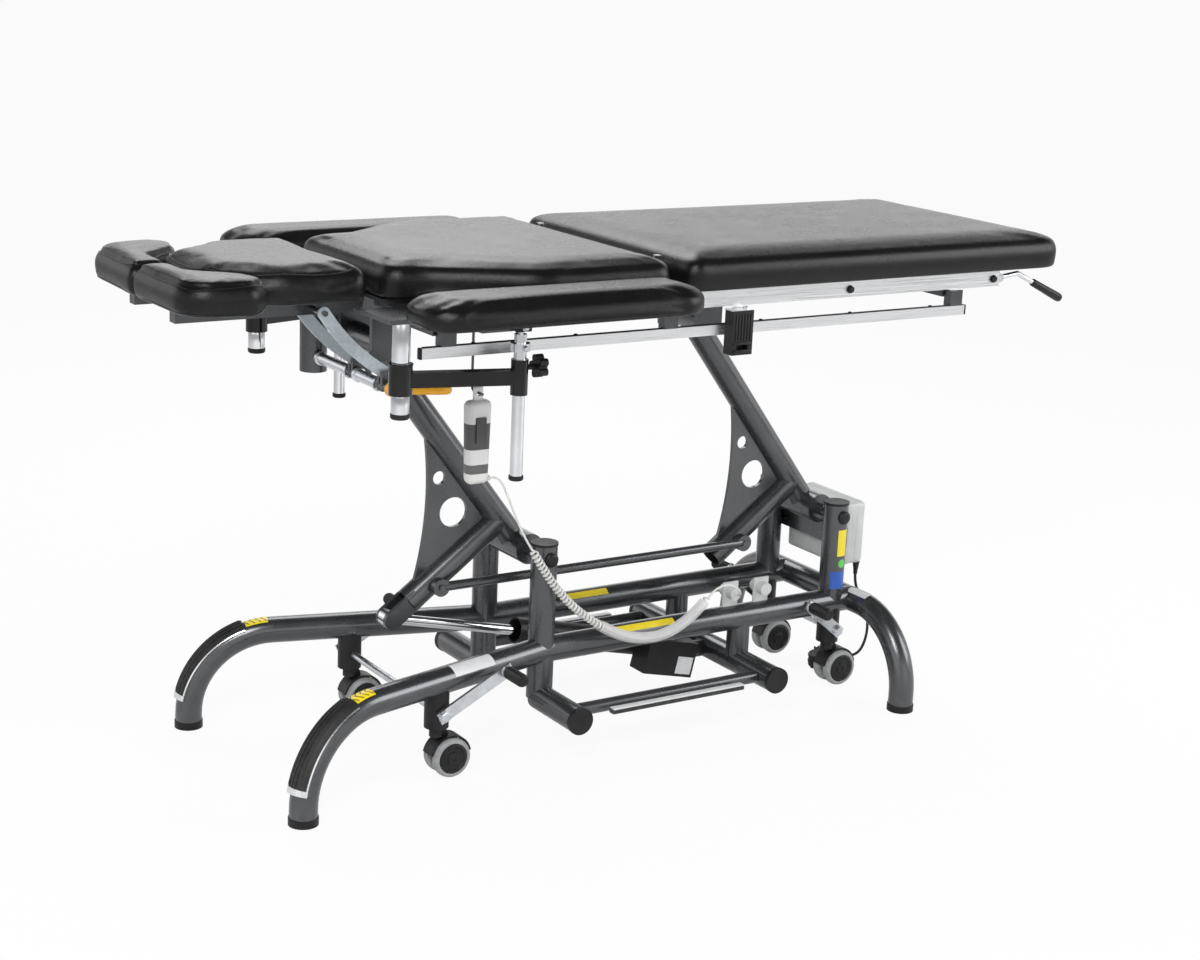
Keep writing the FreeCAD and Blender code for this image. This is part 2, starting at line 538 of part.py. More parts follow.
# Control box at the foot end, with its cable gland
box_x = PLATE_X + size("mount_plate") - 1
control = span(V(box_x, -size("control_width") / 2, size("control_bottom")),
               V(box_x + size("control_depth"), size("control_width") / 2,
                 size("control_bottom") + size("control_height")))
GLAND = V(box_x + size("control_depth") - size("gland_inset"), -size("gland_offset"),
          size("control_bottom"))
GLAND_END = GLAND - V(0, 0, size("gland_length"))
gland = rod("cord_dia", GLAND + V(0, 0, size("gland_wall")), GLAND_END, size("gland_wall"))
node("control_box", join([control, gland]))

# Cable connectors on lugs of the near rail
plates = []
CONNECTORS = []
for place in (size("connector_place"), size("connector_place") + size("connector_pitch")):
    foot_y = -size("post_offset")
    lug = block("connector_lug_width", "connector_plate", "connector_lug_height",
                V(place, foot_y, RAIL_Z + size("connector_lug_height") / 2))
    body_z = RAIL_Z + TUBE_R + size("connector_rise")
    half = V(0, size("connector_length") / 2, 0)
    centre = V(place, foot_y, body_z)
    CONNECTORS.append(centre)
    plates.append(cut(join([lug, rod("connector_dia", centre - half, centre + half)]),
                      [rail_envelopes["near"]]))
node("cable_connectors", group(plates))

# Lift arms: a long tube with a crank and a pierced gusset, turning on the base's shafts
LEAN = math.radians(size("arm_lean"))
ARM = V(-math.sin(LEAN), 0, math.cos(LEAN))
LIFT = ARM * size("arm_length")
CRANK_TIP = V(-size("crank_tip_back"), 0, -size("crank_tip_drop"))
LINK_PIN = V(-size("link_pin_back"), 0, -size("link_pin_drop"))
HUB = V(0, size("hub_length") / 2, 0)
PIVOTS = {"head": V(HEAD_X, 0, size("pivot_height")), "foot": V(FOOT_X, 0, size("pivot_height"))}


def gusset(pivot, root, crank_end):
    """Pierced web between arm and crank, its free edge hollowed by an arc."""
    high = pivot + ARM * size("gusset_along_arm")
    hollow = (high + crank_end) / 2 + (root - (high + crank_end) / 2).normalize() * size("gusset_sag")
    outline = Part.Wire([Part.makeLine(high, root), Part.makeLine(root, crank_end),
                         Part.Arc(crank_end, hollow, high).toShape()])
    plate = Part.Face(outline).extrude(V(0, size("gusset_thick"), 0))
    plate.translate(V(0, -size("gusset_thick") / 2, 0))
    return free_shape(plate)


def lift_arm(end):
    pivot = PIVOTS[end]
    top = pivot + LIFT
    root = pivot + ARM * size("crank_root")
    tip = pivot + CRANK_TIP
    down = (tip - root).normalize()
    crank_end = tip - down * (size("crank_tip_clear") if end == "head" else size("foot_crank_short"))
    arm_tube = rod("tube_dia", pivot, top)
    crank = rod("tube_dia", root, crank_end)
    bores = [rod("tube_dia", pivot, top, -size("tube_wall")),
             rod("tube_dia", root, crank_end, -size("tube_wall"))]
    across = V(0, size("tube_dia"), 0)
    for hole, back, rise in (("gusset_hole_small", "gusset_small_back", "gusset_small_rise"),
                             ("gusset_hole_large", "gusset_large_back", "gusset_large_rise")):
        centre = pivot + V(-size(back), 0, size(rise))
        bores.append(rod(hole, centre - across, centre + across))
    frame = cut(join([arm_tube, crank, gusset(pivot, root, crank_end)]), bores)
    pin = pivot + LINK_PIN
    pin_end = V(0, size("link_offset") + size("link_eye_width") / 2 + size("link_pin_overhang"), 0)
    pieces = [frame, rod("hub_dia", pivot - HUB, pivot + HUB), rod("top_hub_dia", top - HUB, top + HUB),
              rod("link_pin_dia", pin, pin - pin_end)]
    if end == "head":
        for side, sign in SIDES:
            shift = V(0, sign * CHEEK_Y, 0)
            half = V(0, size("cheek_thick") / 2, 0)
            pieces.append(flat_bar(crank_end - down * size("cheek_lap") + shift, tip + shift,
                                   "actuator_eye_dia", "cheek_thick"))
            pieces.append(rod("actuator_eye_dia", tip + shift - half, tip + shift + half))
        pieces.append(rod("actuator_pin_dia", tip - PIN_REACH, tip + PIN_REACH))
    shaft_bores = [rod("shaft_dia", point - HUB * 2, point + HUB * 2, RUN) for point in (pivot, top)]
    return cut(join(pieces), shaft_bores)


node("head_lift_arm", lift_arm("head"))
node("foot_lift_arm", lift_arm("foot"))

# Link rod that keeps both arms parallel
shift = V(0, -size("link_offset"), 0)
link_ends = [PIVOTS[end] + LINK_PIN + shift for end in ("head", "foot")]
eye_half = V(0, size("link_eye_width") / 2, 0)
eyes = [rod("link_eye_dia", point - eye_half, point + eye_half) for point in link_ends]
eye_bores = [rod("link_pin_dia", point - eye_half * 2, point + eye_half * 2, RUN) for point in link_ends]
node("link_rod", cut(join([rod("link_dia", link_ends[0], link_ends[1])] + eyes), eye_bores))

# Lift actuator: motor and outer tube on the base, push rod on the head arm's crank
TIP = PIVOTS["head"] + CRANK_TIP
AXIS = (TIP - ANCHOR).normalize()
EYE_HALF = V(0, size("actuator_eye_width") / 2, 0)


def eye(centre, dia, half):
    return rod(dia, centre - half, centre + half)


gear_start = ANCHOR + AXIS * size("actuator_eye_dia")
gear_end = gear_start + AXIS * size("gearbox_length")
mouth = ANCHOR + AXIS * size("actuator_length")
neck = flat_bar(ANCHOR, gear_start, "actuator_neck_height", "actuator_eye_width")
gearbox = flat_bar(gear_start, gear_end, "gearbox_height", "gearbox_height")
barrel = rod("actuator_tube_dia", gear_end - AXIS * size("barrel_lap"), mouth)
barrel_bore = rod("actuator_bore", gear_end, mouth + AXIS)
pin_bore = rod("actuator_pin_dia", ANCHOR - EYE_HALF * 2, ANCHOR + EYE_HALF * 2, RUN)
motor_y = -(size("gearbox_height") + size("motor_width")) / 2
down = AXIS.cross(V(0, 1, 0))
if down.z > 0:
    down = down * -1
motor_mid = gear_start + V(0, motor_y, 0) + down * (size("motor_height") - size("gearbox_height")) / 2
motor = flat_bar(motor_mid, motor_mid + AXIS * size("motor_length"), "motor_height", "motor_width")
drive = join([neck, eye(ANCHOR, "actuator_eye_dia", EYE_HALF), gearbox, motor, barrel])
node("actuator_motor_unit", cut(drive, [barrel_bore, pin_bore]))
rod_end = TIP - AXIS * size("actuator_rod_length")
push_rod = rod("actuator_rod_dia", TIP, rod_end)
node("actuator_rod", cut(join([eye(TIP, "actuator_eye_dia", EYE_HALF), push_rod]),
                         [rod("actuator_pin_dia", TIP - EYE_HALF * 2, TIP + EYE_HALF * 2, RUN)]))

# Top frame carried by both arms
TOPS = {end: PIVOTS[end] + LIFT for end in PIVOTS}
BAR = size("frame_bar")
FRAME_TOP = size("frame_top")
FRAME_BOTTOM = FRAME_TOP - BAR
HALF = size("frame_half_width")
pieces = []
bars = []
bores = []
BORE = BAR - 2 * size("frame_wall")
BAR_MID = FRAME_TOP - BAR / 2
for place, width in ((TOPS["head"].x, BAR), (size("hinge_bar_place"), size("hinge_bar_width")),
                     (size("foot_bar_place"), BAR)):
    bars.append(block(width, 2 * HALF, "frame_bar", V(place, 0, BAR_MID)))
    bores.append(block(width - 2 * size("frame_wall"), 2 * HALF + 2, BORE, V(place, 0, BAR_MID)))
    for side, sign in SIDES:
        low = size("side_rail_top")
        high = FRAME_BOTTOM + size("upright_lap")
        pieces.append(block("upright_width", "upright_depth", high - low,
                            V(place, sign * (HALF + size("upright_depth") / 2), (low + high) / 2)))
for side, sign in SIDES:
    y = sign * size("frame_offset")
    length = size("foot_bar_place") - TOPS["head"].x
    middle = V((size("foot_bar_place") + TOPS["head"].x) / 2, y, BAR_MID)
    bars.append(block(length, "frame_bar", "frame_bar", middle))
    bores.append(block(length, BORE, BORE, middle))
    for top in TOPS.values():
        lug_y = sign * (size("hub_length") / 2 + size("open_gap") + size("lug_thick") / 2)
        drop = FRAME_BOTTOM - top.z + size("shaft_dia")
        pieces.append(block("hub_dia", "lug_thick", drop, V(top.x, lug_y, FRAME_BOTTOM - drop / 2)))
    ear_y = sign * (size("ear_offset") + size("ear_thick") * 1.5 + size("open_gap"))
    hinge = V(size("lumbar_hinge_place"), ear_y, FRAME_TOP + size("lumbar_hinge_rise"))
    ear_top = hinge.z + size("ear_width") / 2
    pieces.append(block("ear_width", "ear_thick", ear_top - FRAME_TOP,
                        V(hinge.x, ear_y, (ear_top + FRAME_TOP) / 2)))
    base_left = size("hinge_bar_place") - size("hinge_bar_width") / 2
    pieces.append(span(V(base_left, ear_y - size("ear_thick") / 2, FRAME_TOP),
                       V(hinge.x, ear_y + size("ear_thick") / 2, FRAME_TOP + size("ear_base_height"))))
    pieces.append(rod("hinge_pin_dia", V(hinge.x, sign * size("ear_offset"), hinge.z),
                      hinge + V(0, sign * size("ear_thick") / 2, 0)))
for top in TOPS.values():
    reach = V(0, size("hub_length") / 2 + size("open_gap") + size("lug_thick"), 0)
    pieces.append(rod("shaft_dia", top - reach, top + reach))
SPRING_BASE = V(size("spring_base_place"), size("spring_offset"), FRAME_TOP - size("spring_base_drop"))
SPRING_TIP = V(size("spring_tip_place"), size("spring_offset"), FRAME_TOP - size("spring_tip_drop"))
SPRING_EYE = V(0, size("cheek_thick"), 0)
LUG_SHIFT = V(0, size("cheek_thick") * 1.5 + size("open_gap"), 0)
pieces.append(flat_bar(V(size("hinge_bar_place"), SPRING_BASE.y, FRAME_BOTTOM + BAR / 3) + LUG_SHIFT,
                       SPRING_BASE + LUG_SHIFT,
                       "lever_width", "cheek_thick", size("spring_pin_dia")))
pieces.append(rod("spring_pin_dia", SPRING_BASE - SPRING_EYE, SPRING_BASE + LUG_SHIFT))
pieces.append(block("junction_length", "junction_width", "junction_height",
                    V(size("junction_place"), -size("junction_offset"),
                      FRAME_BOTTOM - size("junction_height") / 2)))
node("top_frame", join([cut(join(bars), bores)] + pieces))
rails = [span(V(size("side_rail_head"), sign * size("side_rail_offset") - size("side_rail_thick") / 2,
                size("side_rail_top") - size("side_rail_height")),
              V(size("side_rail_foot"), sign * size("side_rail_offset") + size("side_rail_thick") / 2,
                size("side_rail_top")))
         for side, sign in SIDES]
node("side_rails", group(rails))
brackets = []
for side, sign in SIDES:
    y = sign * (size("side_rail_offset") + (size("side_rail_thick") + size("rail_bracket_depth")) / 2)
    centre = V(size("rail_bracket_place"), y, size("rail_bracket_top") - size("rail_bracket_height") / 2)
    body = block("rail_bracket_width", "rail_bracket_depth", "rail_bracket_height", centre)
    slot = block("rail_slot_width", size("rail_bracket_depth"), "rail_slot_height",
                 centre + V(0, sign * size("rail_bracket_depth") / 2,
                            size("rail_slot_rise") - size("rail_bracket_height") / 2))
    brackets.append(cut(body, [slot]))
node("rail_brackets", group(brackets))


# Cushions: lofted outlines with a drawn-in base, full sides and a crown
def outline(points, radii, inset, z):
    """Rounded outline of straight runs and arcs, moved inward by an inset."""
    count = len(points)
    lines = []
    for i in range(count):
        a = V(points[i][0], points[i][1], z)
        b = V(points[(i + 1) % count][0], points[(i + 1) % count][1], z)
        along = (b - a).normalize()
        lines.append((a + V(-along.y, along.x, 0) * inset, along))
    corners = []
    for i in range(count):
        (p, d), (q, e) = lines[i - 1], lines[i]
        cross = d.x * e.y - d.y * e.x
        reach = ((q.x - p.x) * e.y - (q.y - p.y) * e.x) / cross
        corners.append((p + d * reach, d, e, cross))
    arcs = []
    for (corner, into, out, cross), radius in zip(corners, radii):
        radius = max(radius - inset, size("least_round")) if cross > 0 else radius + inset
        half = into.getAngle(out) / 2
        start = corner - into * (radius * math.tan(half))
        end = corner + out * (radius * math.tan(half))
        middle = corner + (out - into).normalize() * (radius / math.cos(half) - radius)
        arcs.append(Part.Arc(start, middle, end).toShape())
    edges = []
    for i in range(count):
        edges.append(arcs[i])
        edges.append(Part.makeLine(arcs[i].Vertexes[-1].Point, arcs[(i + 1) % count].Vertexes[0].Point))
    return Part.Wire(edges)


def cushion(points, radii, bottom, top, crown_inset):
    """Closed upholstered solid from its plan outline."""
    seam = size("seam_inset")
    crown = size("cushion_crown")
    wall = top - crown - bottom
    levels = [(bottom + up * wall, share * seam) for up, share in SIDE_PROFILE]
    levels += [(top - crown + up * crown, share * crown_inset) for up, share in CROWN_PROFILE]
    return free_shape(Part.makeLoft([outline(points, radii, inset, z) for z, inset in levels], True, True))


CUSHION_BOTTOM = FRAME_TOP + size("plate_thick") + size("cushion_gap")
CUSHION_TOP = size("cushion_top")
w = size("lumbar_half_width")
node("lumbar_cushion", cushion([(size("lumbar_foot"), -w), (size("lumbar_foot"), w),
                                (size("lumbar_head"), w), (size("lumbar_head"), -w)],
                               [size("lumbar_corner")] * 2 + [size("lumbar_head_corner")] * 2,
                               CUSHION_BOTTOM, CUSHION_TOP, size("crown_inset")))
w = size("thoracic_half_width")
neck = size("thoracic_neck")
neck_x = size("thoracic_head") + size("thoracic_neck_length")
flare_x = neck_x + size("thoracic_flare_length")
side_radii = [size("flare_round"), size("neck_round")]
thoracic_radii = [size("thoracic_corner")] * 2 + side_radii
thoracic_radii += [size("thoracic_corner")] * 2 + side_radii[::-1]
node("thoracic_cushion", cushion([(size("thoracic_foot"), -w), (size("thoracic_foot"), w), (flare_x, w),
                                  (neck_x, neck),
                                  (size("thoracic_head"), neck), (size("thoracic_head"), -neck),
                                  (neck_x, -neck), (flare_x, -w)],
                                 thoracic_radii, CUSHION_BOTTOM, CUSHION_TOP - size("thoracic_drop"),
                                 size("crown_inset")))
w = size("head_half_width")
nose = size("head_nose_half")
shoulder_x = (size("head_cushion_head") + size("head_cushion_foot")) / 2 - size("shoulder_shift")
head_radii = [size("head_corner")] * 2 + [size("shoulder_round")]
head_radii += [size("nose_round")] * 2 + [size("shoulder_round")]
node("head_cushion", cushion([(size("head_cushion_foot"), -w), (size("head_cushion_foot"), w),
                              (shoulder_x, w), (size("head_cushion_head"), nose),
                              (size("head_cushion_head"), -nose), (shoulder_x, -w)],
                             head_radii, CUSHION_BOTTOM, CUSHION_TOP - size("head_drop"),
                             size("head_crown_inset")))
gap = size("face_pad_gap")
front = size("face_pad_front")
inner_x = size("head_cushion_head") - gap
half = size("face_pad_half")
pad = [(front, size("face_pad_split")), (inner_x, size("face_pad_split")),
       (inner_x, nose - size("face_nose_clear")),
       (inner_x + size("face_hollow_reach"), nose + size("face_hollow_spread")),
       (inner_x + size("face_wing_reach"), half - size("face_wing_inset")),
       (inner_x + size("face_tip_reach"), half),
       (front + size("face_front_reach"), half - size("face_front_inset"))]
pad_corners = ("split", "chin", "nose", "hollow", "wing", "tip", "front")
pad_radii = [size("face_" + corner + "_round") for corner in pad_corners]
mirrored = [(x, -y) for x, y in reversed(pad)]
face_pads = [cushion(pad, pad_radii, CUSHION_BOTTOM, size("face_pad_top"), size("face_crown_inset")),
             cushion(mirrored, pad_radii[::-1], CUSHION_BOTTOM, size("face_pad_top"),
                     size("face_crown_inset"))]
node("face_pads", group(face_pads))

# Thoracic deck with the armrest plates, the column and the tilt clamp
PLATE = size("plate_thick")
HINGE = V(size("head_hinge_place"), 0, size("head_hinge_height"))
CLAMP = V(size("clamp_place"), 0, size("clamp_height"))
DECK_HEAD = size("thoracic_head") + size("deck_setback")
pieces = [span(V(DECK_HEAD, -size("deck_half_width"), FRAME_TOP),
               V(size("hinge_bar_place"), size("deck_half_width"), FRAME_TOP + PLATE))]
for side, sign in SIDES:
    post = V(size("inner_post_place"), sign * size("inner_post_offset"), 0)
    edge = post.y + sign * size("arm_plate_edge")
    low_y, high_y = sorted((sign * size("arm_plate_inner"), edge))
    plate_low = FRAME_TOP - size("arm_plate_thick")
    pieces.append(span(V(DECK_HEAD, low_y, plate_low), V(TOPS["head"].x - BAR / 2, high_y, FRAME_TOP)))
    low_y, high_y = sorted((sign * size("arm_tab_inner"), edge))
    pieces.append(span(V(post.x - size("inner_post_dia"), low_y, plate_low),
                       V(DECK_HEAD + PLATE, high_y, FRAME_TOP)))
    knuckle = HINGE + V(0, sign * size("knuckle_offset"), 0)
    half_width = V(0, size("knuckle_width") / 2, 0)
    pieces.append(rod("knuckle_dia", knuckle - half_width, knuckle + half_width))
    pieces.append(span(V(HINGE.x, knuckle.y - half_width.y, HINGE.z),
                       V(DECK_HEAD + size("knuckle_lap"), knuckle.y + half_width.y,
                         FRAME_TOP + size("open_gap"))))
reach = V(0, size("knuckle_offset") + size("knuckle_width") * 1.5 + size("open_gap"), 0)
pieces.append(rod("head_hinge_pin", HINGE - reach, HINGE + reach))
column = V(CLAMP.x, size("column_offset"), 0)
pieces.append(rod("tube_dia", column + V(0, 0, size("column_bottom")), column + V(0, 0, FRAME_TOP)))
pieces.append(rod("clamp_shaft_dia", CLAMP + V(0, size("column_offset"), 0),
                  CLAMP + V(0, size("clamp_near_end"), 0)))
for strip in ("strut_near", "strut_mid"):
    for side, sign in SIDES:
        y = size(strip) + sign * (size("strut_thick") / 2 + size("side_gap") + size("clamp_cheek") / 2)
        pieces.append(block("clamp_cheek_size", "clamp_cheek", "clamp_cheek_size",
                            CLAMP + V(size("clamp_shift"), y, size("clamp_shift"))))
for side, sign in SIDES:
    post = V(size("inner_post_place"), sign * size("inner_post_offset"), 0)
    pieces.append(rod("inner_post_dia", post + V(0, 0, size("inner_post_bottom")),
                      post + V(0, 0, FRAME_TOP - size("arm_plate_thick") / 2)))
SWITCH = V(size("switch_place"), -size("switch_offset"), size("switch_top") - size("switch_length") / 2)
HOOK_Z = size("switch_top") + size("hook_drop")
hook_y = SWITCH.y + size("hook_back")
hook_end = SWITCH.y - size("hook_front")
hook_path = bend([V(SWITCH.x, hook_y, FRAME_TOP + PLATE / 2), V(SWITCH.x, hook_y, HOOK_Z),
                  V(SWITCH.x, hook_end, HOOK_Z)],
                 [size("hook_radius")])
pieces.append(free_shape(pipe(hook_path, size("hook_dia"))))
node("thoracic_deck", join(pieces))

# Head frame, its tilt struts and the clamp handle
HEAD_DECK = HINGE.x - size("head_deck_gap")
plate_y = size("head_plate_half")
face_y = size("face_plate_half")
pieces = [span(V(size("head_cushion_head") + size("head_plate_setback"), -plate_y, FRAME_TOP),
               V(HEAD_DECK, plate_y, FRAME_TOP + PLATE)),
          span(V(front + size("face_plate_setback"), -face_y, FRAME_TOP),
               V(inner_x - size("face_plate_gap"), face_y, FRAME_TOP + PLATE))]
for side, sign in SIDES:
    y = sign * size("head_bar_offset")
    pieces.append(span(V(front + size("head_bar_setback"), y - size("head_bar") / 2,
                         FRAME_TOP - size("head_bar")),
                       V(HINGE.x - size("knuckle_dia") / 2, y + size("head_bar") / 2, FRAME_TOP)))
    knuckle = HINGE + V(0, y, 0)
    half_width = V(0, size("knuckle_width") / 2 - size("side_gap"), 0)
    pieces.append(rod("knuckle_dia", knuckle - half_width, knuckle + half_width))
    pieces.append(span(V(HINGE.x - size("knuckle_dia"), y - half_width.y, HINGE.z - size("hinge_lap")),
                       V(HINGE.x, y + half_width.y, HINGE.z + size("hinge_lap"))))
STRUT = V(size("strut_pin_place"), 0, size("strut_pin_height"))
pieces.append(rod("head_hinge_pin", STRUT + V(0, size("strut_near") - size("strut_pin_overhang"), 0),
                  STRUT + V(0, size("strut_mid") + size("strut_pin_overhang"), 0)))
head_bores = [rod("head_hinge_pin", HINGE - reach * 2, HINGE + reach * 2, RUN)]
node("head_frame", cut(join(pieces), head_bores))


def strut(y):
    """Curved flat strip from the head frame down through the clamp."""
    pin = STRUT + V(0, y, 0)
    hold = size("strut_width") / 2 + size("clamp_shaft_dia") / 2 + size("strut_clear")
    through = CLAMP + V(hold, 0, hold) * math.sqrt(0.5) + V(0, y, 0)
    along = (through - pin).normalize()
    end = through + along * size("strut_overrun")
    below = V(along.z, 0, -along.x)
    middle = (pin + end) / 2 + below * size("strut_sag")
    ring = Part.Circle(pin, middle, end)
    centre = ring.Center
    edges = []
    for grow in (size("strut_width") / 2, -size("strut_width") / 2):
        edges.append([centre + (p - centre).normalize() * (ring.Radius + grow) for p in (pin, middle, end)])
    (a, b, c), (d, e, f) = edges
    radial = (pin - centre).normalize()
    chord = middle - pin
    tangent = (chord - radial * chord.dot(radial)).normalize()
    crown = pin - tangent * (size("strut_width") / 2)
    arcs = [Part.Arc(a, b, c).toShape(), Part.makeLine(c, f), Part.Arc(f, e, d).toShape(),
            Part.Arc(d, crown, a).toShape()]
    half = V(0, size("strut_thick") / 2, 0)
    strip = Part.Face(Part.Wire(arcs)).extrude(half * 2)
    strip.translate(-half)
    bore = Part.makeCylinder(size("head_hinge_pin") / 2 + RUN, size("strut_thick") * 3, pin - half * 3,
                             V(0, 1, 0))
    return free_shape(strip.cut(bore))


node("tilt_struts", group([strut(size("strut_near")), strut(size("strut_mid"))]))
handle_mid = CLAMP + V(0, size("clamp_near_end") + size("handle_hub_width") / 2 + size("open_gap"), 0)
hub_half = V(0, size("handle_hub_width") / 2, 0)
handle_hub = rod("handle_hub_dia", handle_mid - hub_half, handle_mid + hub_half)
handle_bar = rod("handle_dia", handle_mid, handle_mid + V(size("handle_length"), 0, -size("handle_drop")))
node("tilt_handle", cut(join([handle_hub, handle_bar]),
                        [rod("clamp_shaft_dia", handle_mid - hub_half * 2, handle_mid + hub_half * 2,
                             RUN)]))

# Armrests: swing arm on the inner post, sliding outer post, tilting pad, clamp knob
ARM_Z = size("sleeve_bottom") + size("sleeve_height") / 2
for side, sign in SIDES:
    inner = V(size("inner_post_place"), sign * size("inner_post_offset"), ARM_Z)
    outer = V(size("outer_post_place"), sign * size("outer_post_offset"), ARM_Z)
    rise = V(0, 0, size("sleeve_height") / 2)
    outer_rise = V(0, 0, size("outer_sleeve_height") / 2)
    run = (outer - inner)
    bar = doc.addObject("Part::Box", "swing_bar")
    bar.Length = run.Length
    bar.setExpression("Width", "Sizes.arm_bar")
    bar.setExpression("Height", "Sizes.arm_bar")
    turn = FreeCAD.Rotation(V(1, 0, 0), run)
    bar.Placement = FreeCAD.Placement(inner + turn.multVec(V(0, -size("arm_bar") / 2,
                                                             -size("arm_bar") / 2)), turn)
    sleeves = [rod("inner_post_dia", inner - rise, inner + rise, size("sleeve_wall")),
               rod("outer_post_dia", outer - outer_rise, outer + outer_rise, size("outer_sleeve_wall"))]
    knob_at = outer + V(0, 0, size("outer_sleeve_height") / 4)
    wall_end = size("outer_post_dia") / 2 + size("outer_sleeve_wall")
    holes = [rod("inner_post_dia", inner - rise * 2, inner + rise * 2, RUN),
             rod("outer_post_dia", outer - outer_rise * 2, outer + outer_rise * 2, RUN),
             rod("knob_stem_dia", knob_at, knob_at + V(wall_end + size("open_gap"), 0, 0), RUN)]
    node(side + "_swing_arm", cut(join([bar] + sleeves), holes))
    pin_z = size("tilt_pin_height")
    pin = V(outer.x, outer.y, pin_z)
    eye_half_width = V(0, size("tilt_eye_width") / 2, 0)
    collar_at = V(outer.x, outer.y, ARM_Z + outer_rise.z + size("collar_gap"))
    foot_at = V(outer.x, outer.y, size("outer_post_bottom"))
    neck_low = pin - V(0, 0, size("tilt_neck"))
    post = join([rod("outer_post_dia", foot_at, neck_low),
                 rod("tilt_eye_width", neck_low - V(0, 0, size("open_gap")), pin, -size("side_gap")),
                 rod("outer_post_dia", pin - eye_half_width, pin + eye_half_width, -size("open_gap")),
                 rod("collar_dia", collar_at, collar_at + V(0, 0, size("collar_height"))),
                 rod("outer_post_dia", foot_at - V(0, 0, size("post_foot_height")), foot_at,
                     size("post_foot_wall"))])
    node(side + "_arm_post", cut(post,
                                 [rod("tilt_pin_dia", pin - eye_half_width * 2, pin + eye_half_width * 2,
                                      RUN)]))
    bottom = size("arm_pad_bottom")
    base_top = bottom - size("cushion_gap")
    plate = block("bracket_length", "bracket_width", "bracket_thick",
                  V(outer.x, outer.y + sign * size("bracket_shift"), base_top - size("bracket_thick") / 2))
    pieces = [plate]
    for name, way in SIDES:
        cheek_y = outer.y + way * ((size("tilt_eye_width") + size("bracket_thick")) / 2 + size("side_gap"))
        low = pin_z - size("tilt_cheek_drop")
        pieces.append(block("cheek_length", "bracket_thick", base_top - low,
                            V(outer.x, cheek_y, (base_top + low) / 2)))
    cheek_out = size("tilt_eye_width") / 2 + size("side_gap") + size("bracket_thick")
    half_pin = V(0, cheek_out + size("tilt_pin_overhang"), 0)
    pieces.append(rod("tilt_pin_dia", pin - half_pin, pin + half_pin))
    node(side + "_pad_bracket", join(pieces))
    pad_width = size("arm_pad_width")
    near_y, far_y = sorted((sign * size("arm_pad_inner"), sign * (size("arm_pad_inner") + pad_width)))
    head_x, foot_x = size("arm_pad_head"), size("arm_pad_foot")
    corners = [(foot_x, near_y), (foot_x, far_y), (head_x, far_y), (head_x, near_y)]
    inner_round = size("arm_pad_inner_round") * pad_width
    outer_round = size("arm_pad_outer_round") * pad_width
    radii = [inner_round, outer_round, outer_round, inner_round] if sign < 0 else [outer_round,
                                                                                   inner_round,
                                                                                   inner_round, outer_round]
    node(side + "_arm_pad", cushion(corners, radii, bottom, bottom + size("arm_pad_height"),
                                    size("arm_crown_inset")))
    stem_start = knob_at + V(size("outer_post_dia") / 2 + size("side_gap"), 0, 0)
    stem_end = knob_at + V(wall_end + size("knob_stem_length"), 0, 0)
    lobes = [rod("knob_dia", stem_end, stem_end + V(size("knob_thick"), 0, 0), -size("knob_lobe_inset"))]
    for i in range(int(size("knob_lobes"))):
        turn = 2 * math.pi * i / size("knob_lobes")
        lobe = stem_end + V(0, math.cos(turn),
                            math.sin(turn)) * (size("knob_dia") / 2 - size("knob_lobe_inset"))
        lobes.append(rod("knob_stem_dia", lobe, lobe + V(size("knob_thick"), 0, 0), size("knob_lobe_grow")))
    node(side + "_clamp_knob", join(lobes + [rod("knob_stem_dia", stem_start,
                                                 stem_end + V(size("open_gap"), 0, 0))]))

# Lumbar frame on its hinge ears, with the gas spring and the release lever
FLAT_LOW = FRAME_TOP + size("lumbar_flat_gap")
FLAT_TOP = FRAME_TOP + PLATE
BAR_LOW = FLAT_TOP - size("side_bar_height")
bar_head = size("lumbar_head_flat") - size("lumbar_flat_width") / 2
pieces = []
for place in ("lumbar_head_flat", "lumbar_mid_flat", "lumbar_foot_flat"):
    pieces.append(span(V(size(place) - size("lumbar_flat_width") / 2, -size("side_bar_offset"), FLAT_LOW),
                       V(size(place) + size("lumbar_flat_width") / 2, size("side_bar_offset"), FLAT_TOP)))
hinge = V(size("lumbar_hinge_place"), 0, FRAME_TOP + size("lumbar_hinge_rise"))
ear_top = hinge.z + size("ear_width") / 2
ear_left = hinge.x - size("ear_width") / 2
for side, sign in SIDES:
    y = sign * size("side_bar_offset")
    pieces.append(span(V(bar_head, y - size("side_bar_thick") / 2, BAR_LOW),
                       V(size("side_bar_foot"), y + size("side_bar_thick") / 2, FLAT_TOP)))
    low_y = sign * (size("ear_offset") + size("ear_thick") / 2) - size("ear_thick") / 2
    high_y = low_y + size("ear_thick")
    pieces.append(span(V(ear_left, low_y, FLAT_LOW), V(ear_left + size("ear_width"), high_y, ear_top)))
    pieces.append(span(V(ear_left, low_y, FLAT_LOW), V(size("lumbar_head_flat"), high_y, FLAT_TOP)))
pieces.append(flat_bar(V(size("lumbar_mid_flat"), SPRING_TIP.y,
                         FLAT_TOP - size("spring_lug_drop")) + LUG_SHIFT, SPRING_TIP + LUG_SHIFT,
                       "lever_width", "cheek_thick", size("spring_pin_dia")))
pieces.append(rod("spring_pin_dia", SPRING_TIP - SPRING_EYE, SPRING_TIP + LUG_SHIFT))
RELEASE = V(size("release_place"), -size("release_offset"), size("release_height"))
release_lug = V(0, size("release_lug_offset"), 0)
pieces.append(flat_bar(V(size("lumbar_foot_flat"), RELEASE.y,
                         FLAT_TOP - size("release_lug_drop")) + release_lug,
                       RELEASE + release_lug, "release_lug_width", "ear_thick", size("ear_thick")))
pieces.append(rod("hinge_pin_dia", RELEASE - V(0, size("release_pin_reach"), 0), RELEASE + release_lug))
